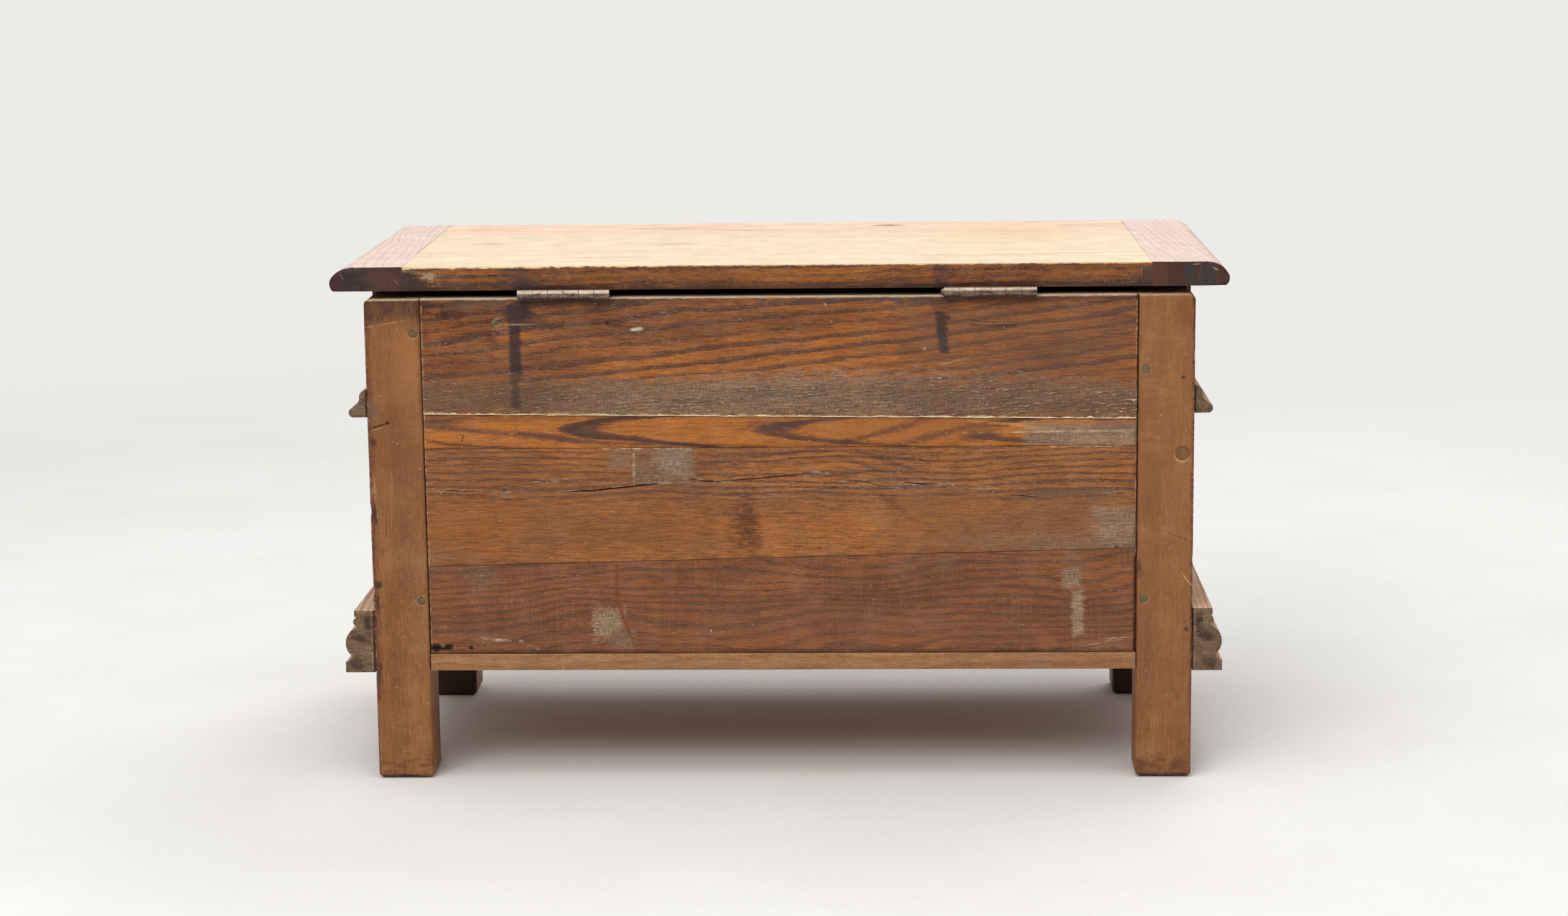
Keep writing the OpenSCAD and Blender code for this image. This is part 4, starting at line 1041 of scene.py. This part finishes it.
# The cleats' top colours are a painted highlight on their upward faces, like the lid's boards.
CLEAT = dict(axes="yxz", light=0x70422c, dark=0x422a22,
             blotch=0x583224, streak=0.5, limed=0.1, end_rings=0.35, specks=0.4,
             arris=0x462a22, arris_share=0.5, dust=0.1, rough=(0.36, 0.6),
             top=(0xe9d2c2, 0xc29e88, 0.4))
LEFT_CLEAT_MARKS = [
    box(-410, 558, 9, 14, 2, 4, 0x603a28, 0.7),
    box(-429, 559, 8, 12, 1.5, 3, 0x4e2e22, 0.7),
    box(-444, 558, 5, 12, 1.5, 3, 0x3e3838, 0.7),
    box(-463, 558, 8, 12, 1.5, 3, 0x3a363a, 0.75),
    oval(-477, 556, 5, 12, 3, 6, 0x4c2e26, 0.6),
    streak(-448, 568.6, -453, 569, 0.4, 0.5, 0.7, CREAM, 0.6),
    streak(-468, 565, -472, 562.6, 0.5, 0.5, 0.8, CREAM, 0.6),
]
cleat_left = wood("cleat_wood_left", seed=70.0, spacing=8.0, pith=(-650.0, 480.0), taper=0.06,
                  wander=(6.0, 1.0), late=(0.6, 0.85), end_light=0x56382a,
                  end_dark=0x362925, marks=LEFT_CLEAT_MARKS, **CLEAT)

RIGHT_CLEAT_MARKS = [
    box(424, 557, 20, 13, 6, 16, 0x5a3628, 0.7),
    oval(480, 556, 5, 12, 3, 6, 0x502a24, 0.6),
    streak(474, 565, 471, 559, 0.4, 0.5, 0.7, 0xaa8254, 0.5),
    streak(411, 553, 415, 558, 0.4, 0.5, 0.8, 0xaa8c68, 0.6),
]
cleat_right = wood("cleat_wood_right", seed=71.0, spacing=8.0, pith=(640.0, 480.0), taper=-0.05,
                   wander=(12.0, 1.2), late=(0.6, 0.85), end_light=0x463430,
                   end_dark=0x2a2628, marks=RIGHT_CLEAT_MARKS, **CLEAT)

peg_wood = wood("peg_wood", axes="yxz", light=0x8e6c48,
                dark=0x685038, seed=80.0, spacing=1.6, pith=(0.0, 0.0), band=0.5,
                end_light=0x886c4c, end_dark=0x624e38, dust=0.2, limed=0.1,
                arris=0xbe986c)

plug_wood = wood("plug_wood", axes="yxz", light=0x92603a,
                 dark=0x764c2e, seed=81.0, spacing=2.4, pith=(-437.0, 363.0), band=0.4,
                 end_light=0x90603a, end_dark=0x744c2e, dust=0.2, limed=0.0)

split_wood = wood("split_oak", axes="xzy", light=0xecdab8,
                  dark=0xc4a882, seed=90.0, spacing=4.0, blotch=0xdec69e,
                  streak=0.3, limed=0.0, dust=0.05)


def metal(name, colour, stain_and_shade, rubbed_and_highlight, rough):
    """Old steel: browned, with brighter rubbed patches and dark grime, a painted highlight on faces
    that look up and painted shade on faces that look down.
    """
    net = Surface(name)
    cloud = net.noise(net.place, (9, 4, 4), 4, 0.6)
    grain = net.noise(net.place, (2.2, 0.6, 0.6), 3, 0.65)
    tone = net.mix(net.step(cloud, 0.36, 0.62), stain_and_shade, colour)
    # Painted highlight on faces that look up.
    tone = net.mix(net.times(net.step(net.nz, 0.1, 0.9), 0.7), tone, rubbed_and_highlight)
    # Painted shade on faces that look down.
    tone = net.mix(net.times(net.step(net.nz, -0.1, -0.8), 0.8), tone, stain_and_shade)
    rubbed = net.times(net.step(net.worn(), 0.2, 0.8), 0.5)
    tone = net.mix(rubbed, tone, rubbed_and_highlight)
    tone = net.mix(net.times(net.step(grain, 0.52, 0.66), 0.45), tone, rubbed_and_highlight)
    height = net.plus(cloud, net.scaled(grain, 0.4))
    return net.finish(tone, net.scaled(cloud, -0.25, rough), height, 0.15, metallic=0.85)


hinge_metal = metal("hinge_metal", 0x8e786a, 0x42342e, 0xbcaa96, 0.5)
screw_metal = metal("screw_metal", 0x967c66, 0x4c392f, 0xc4ac92, 0.62)


# The pieces

BOTH_ENDS = [(1.0, 0.0, 345.0, 0.3), (-1.0, 0.0, 600.0, 0.8)]
LAST_ENDS = [(1.0, 0.0, 600.0, 0.5), (-1.0, 0.0, 252.0, 2.5)]

dress("back_board_1", back_1, 1, chip=1.3, arris=1.1, gaps=BOTH_ENDS, cracks=[
    ([(-205.5, 507.9), (-218.3, 505.9), (-257.4, 505.9)], 0.6, 3.0)])
dress("back_board_2", back_2, 2, chip=0.9, arris=0.5, gaps=BOTH_ENDS)
dress("back_board_3", back_3, 3, chip=0.7, arris=0.5, gaps=BOTH_ENDS, cracks=CRACKS)
dress("back_board_4", back_4, 4, chip=0.9, gaps=LAST_ENDS, dents=[
    ((382, REAR_MM - 1, 148), 8, 2.5), ((368, REAR_MM - 1, 148), 6, 2.0),
    ((343, REAR_MM - 1, 148.5), 2.8, 2.0)])
splinter_lip("torn_edge", split_wood, "back_board_1", (386.4, 410.3), (-386.4, 401.6), 1.3, 0.5,
             3.0)


def post_joint(place):
    """Whether a place in millimetres lies on a rear post's arris beside the boards."""
    return abs(place.x) < POST_FACE_X + 1.5


dress("rear_right_post", post_rear_right, 11, cell=5.0, chip=1.0, tight=post_joint, dents=[
    ((450, REAR_MM, 214), 9, 3.0), ((450, REAR_MM, 302), 8, 2.0), ((450, REAR_MM, 430), 6, 1.4),
    ((450, REAR_MM, 120), 6, 1.2)])
dress("rear_left_post", post_rear_left, 12, cell=5.0, chip=1.0, tight=post_joint, dents=[
    ((-450, REAR_MM, 246), 7, 1.6), ((-450, REAR_MM, 470), 6, 1.2)])
dress("front_left_post", post_front, 13, chip=1.0)
dress("front_right_post", post_front, 14, chip=1.0)

for index in range(3):
    dress("front_board_%d" % (index + 1), front_walls[index], 20 + index)
    dress("left_board_%d" % (index + 1), side_walls[index], 30 + index)
    dress("right_board_%d" % (index + 1), side_walls[2 - index], 33 + index)

for index, place in enumerate(("rear", "middle", "front")):
    dress("bottom_board_" + place, bottom, 40 + index, cell=8.0, arris=1.0)

for index, place in enumerate(("base", "waist")):
    for step, side in enumerate(("front", "left", "right")):
        material, cell = (moulding_front, 9.0) if side == "front" else (moulding_side, 7.0)
        dress("%s_moulding_%s" % (place, side), material, 50 + 3 * index + step, arris=0.6,
              wobble=0.3, chip=0.5, cell=cell)


CLEAT_JOINTS = (396.0, 418.0)
BOARD_JOINT = -92.0


def lid_joint(place):
    """Whether a place in millimetres lies at a joint between the lid's boards."""
    cleat = CLEAT_JOINTS[0] < abs(place.x) < CLEAT_JOINTS[1]
    return cleat or (abs(place.x) < CLEAT_JOINTS[0] + 4.0 and abs(place.y - BOARD_JOINT) < 4.0)


dress("lid_rear_board", lid_rear, 60, arris=0.7, chip=0.6, wobble=0.25, tight=lid_joint)
for name, material, seed, wobble in (("front_board", lid_front, 61, 0.25),
                                     ("left_cleat", cleat_left, 70, 0.45),
                                     ("right_cleat", cleat_right, 71, 0.45)):
    dress("lid_" + name, material, seed, arris=1.0, chip=0.6, wobble=wobble, tight=lid_joint,
          reshape=fill_lid_edge)

for name in ("back_pegs", "front_pegs", "left_pegs", "right_pegs"):
    dress(name, peg_wood, 80, cell=3.0, arris=0.6, shortest=0.0, wobble=0.15, chip=0.2)
dress("post_plug", plug_wood, 80, cell=3.0, arris=0.35, shortest=0.0, wobble=0.15, chip=0.2)

for side in ("left", "right"):
    for part in ("body_leaf", "lid_leaf"):
        dress("%s_hinge_%s" % (side, part), hinge_metal, 90, cell=4.0, arris=0.35, shortest=0.4,
              wobble=0.12, chip=0.2, smooth_angle=50)
    dress("%s_hinge_pin" % side, hinge_metal, 91, cell=4.0, arris=0.3, shortest=0.0,
          wobble=0.02, chip=0.0, smooth_angle=50)
for index, (name, cell) in enumerate((("body_leaf_screws", 5.0), ("lid_leaf_screws", 5.0),
                                      ("bottom_nails", 9.0))):
    dress(name, screw_metal, 92 + index, cell=cell, arris=0.2, shortest=0.0, wobble=0.02, chip=0.0)
screw = dress("back_screw", screw_metal, 95, cell=2.0, arris=0.5, shortest=0.0, wobble=0.1,
              chip=0.2)
cut_cross(screw, 305.0, 509.8, 3.4, 0.8, 1.6, 0.5)


# Floor, light and camera

PAPER = 0xecebe8
SKY = (0.97, 0.98, 1.0, 1.0)


def rays(net, *kinds):
    """Whether a ray is of each kind."""
    path = net.add("LightPath")
    return [path.outputs["Is %s Ray" % kind] for kind in kinds]


def floor_material(near=1.3, far=3.6):
    """A pale floor that keeps the shadow near the chest. Farther off, the camera and glossy
    rays see its plain colour."""
    net = Surface("floor_pale")
    colour = net.mix(net.patches((420, 420, 420), 5, 0.6, 0.3, 0.7), 0xe7e5e1, PAPER)
    grit = net.patches((9, 9, 9), 4, 0.7, 0.5, 0.7)
    net.finish(net.mix(net.times(grit, 0.2), colour, 0xd4d1ca), 0.9, specular=0.1)
    plain = net.add("Emission", PAPER, 1.0)
    camera, glossy, through = rays(net, "Camera", "Glossy", "Transmission")
    seen = net.most(net.most(camera, glossy), through)
    away = net.vector("LENGTH", net.join(net.x, net.y, 0.0))["Value"]
    far_off = net.step(away, near / MM, far / MM)
    blend = net.add("MixShader", net.times(seen, far_off), net.shader.outputs[0],
                    plain.outputs[0])
    net.put(net.out.inputs["Surface"], blend.outputs[0])
    return net.material


def make_floor(reach=40.0):
    bm = bmesh.new()
    bmesh.ops.create_grid(bm, x_segments=8, y_segments=8, size=reach)
    mesh = bpy.data.meshes.new("floor")
    bm.to_mesh(mesh)
    bm.free()
    mesh.materials.append(floor_material())
    floor = bpy.data.objects.new("floor", mesh)
    bpy.context.scene.collection.objects.link(floor)


def area_lamp(name, place, target, size, power):
    data = bpy.data.lights.new(name, "AREA")
    data.shape = "RECTANGLE"
    data.size, data.size_y = size
    data.energy = power
    lamp = bpy.data.objects.new(name, data)
    lamp.location = place
    lamp.rotation_euler = (Vector(target) - Vector(place)).to_track_quat("-Z", "Y").to_euler()
    bpy.context.scene.collection.objects.link(lamp)


def make_world(low, high, shown):
    """Soft sky light, brighter overhead, and a white background for what the camera sees."""
    world = bpy.data.worlds.new("studio")
    world.use_nodes = True
    net = Net(world.node_tree)
    net.tree.nodes.clear()
    upward = net.split(net.add("TexCoord").outputs["Generated"])["Z"]
    strength = net.add("MapRange", upward, 0.0, 0.85, low, high)
    sky = net.add("Background", PAPER, strength.outputs["Result"])
    sky.inputs["Color"].default_value = SKY
    white = net.add("Background", PAPER, shown)
    seen = net.most(*rays(net, "Camera", "Transmission"))
    mixed = net.add("MixShader", seen, sky.outputs[0], white.outputs[0])
    net.add("OutputWorld", mixed.outputs[0])
    bpy.context.scene.world = world


def make_camera():
    """The photograph's camera, fitted to the chest's corners: behind it and a little above."""
    distance, aside, height = 3.3616, -0.1278, 0.9544
    yaw, pitch, roll = -0.0365, 0.1749, 0.01143
    focal_pixels, sensor = 5044.4, 36.0
    data = bpy.data.cameras.new("camera")
    data.sensor_fit = "HORIZONTAL"
    data.sensor_width = sensor
    data.lens = focal_pixels / PHOTO_W * sensor
    data.clip_end = 200.0
    camera = bpy.data.objects.new("camera", data)
    turn = (Matrix.Rotation(math.pi - yaw, 4, "Z") @ Matrix.Rotation(math.pi / 2 - pitch, 4, "X")
            @ Matrix.Rotation(-roll, 4, "Z"))
    camera.matrix_world = Matrix.Translation((aside, REAR_Y + distance, height)) @ turn
    bpy.context.scene.collection.objects.link(camera)
    bpy.context.scene.camera = camera


make_floor()
make_world(0.05, 0.78, 1.0)
area_lamp("sky_panel", (0.4, 0.8, 3.6), (0.0, 0.0, 0.3), (3.6, 3.0), 48.0)
area_lamp("camera_side", (1.4, 3.6, 3.4), (0.0, 0.2, 0.3), (2.6, 2.0), 78.0)
area_lamp("far_side", (-1.6, -2.6, 3.6), (0.0, -0.2, 0.3), (2.6, 2.0), 50.0)
make_camera()
bpy.context.scene.view_settings.view_transform = "Standard"
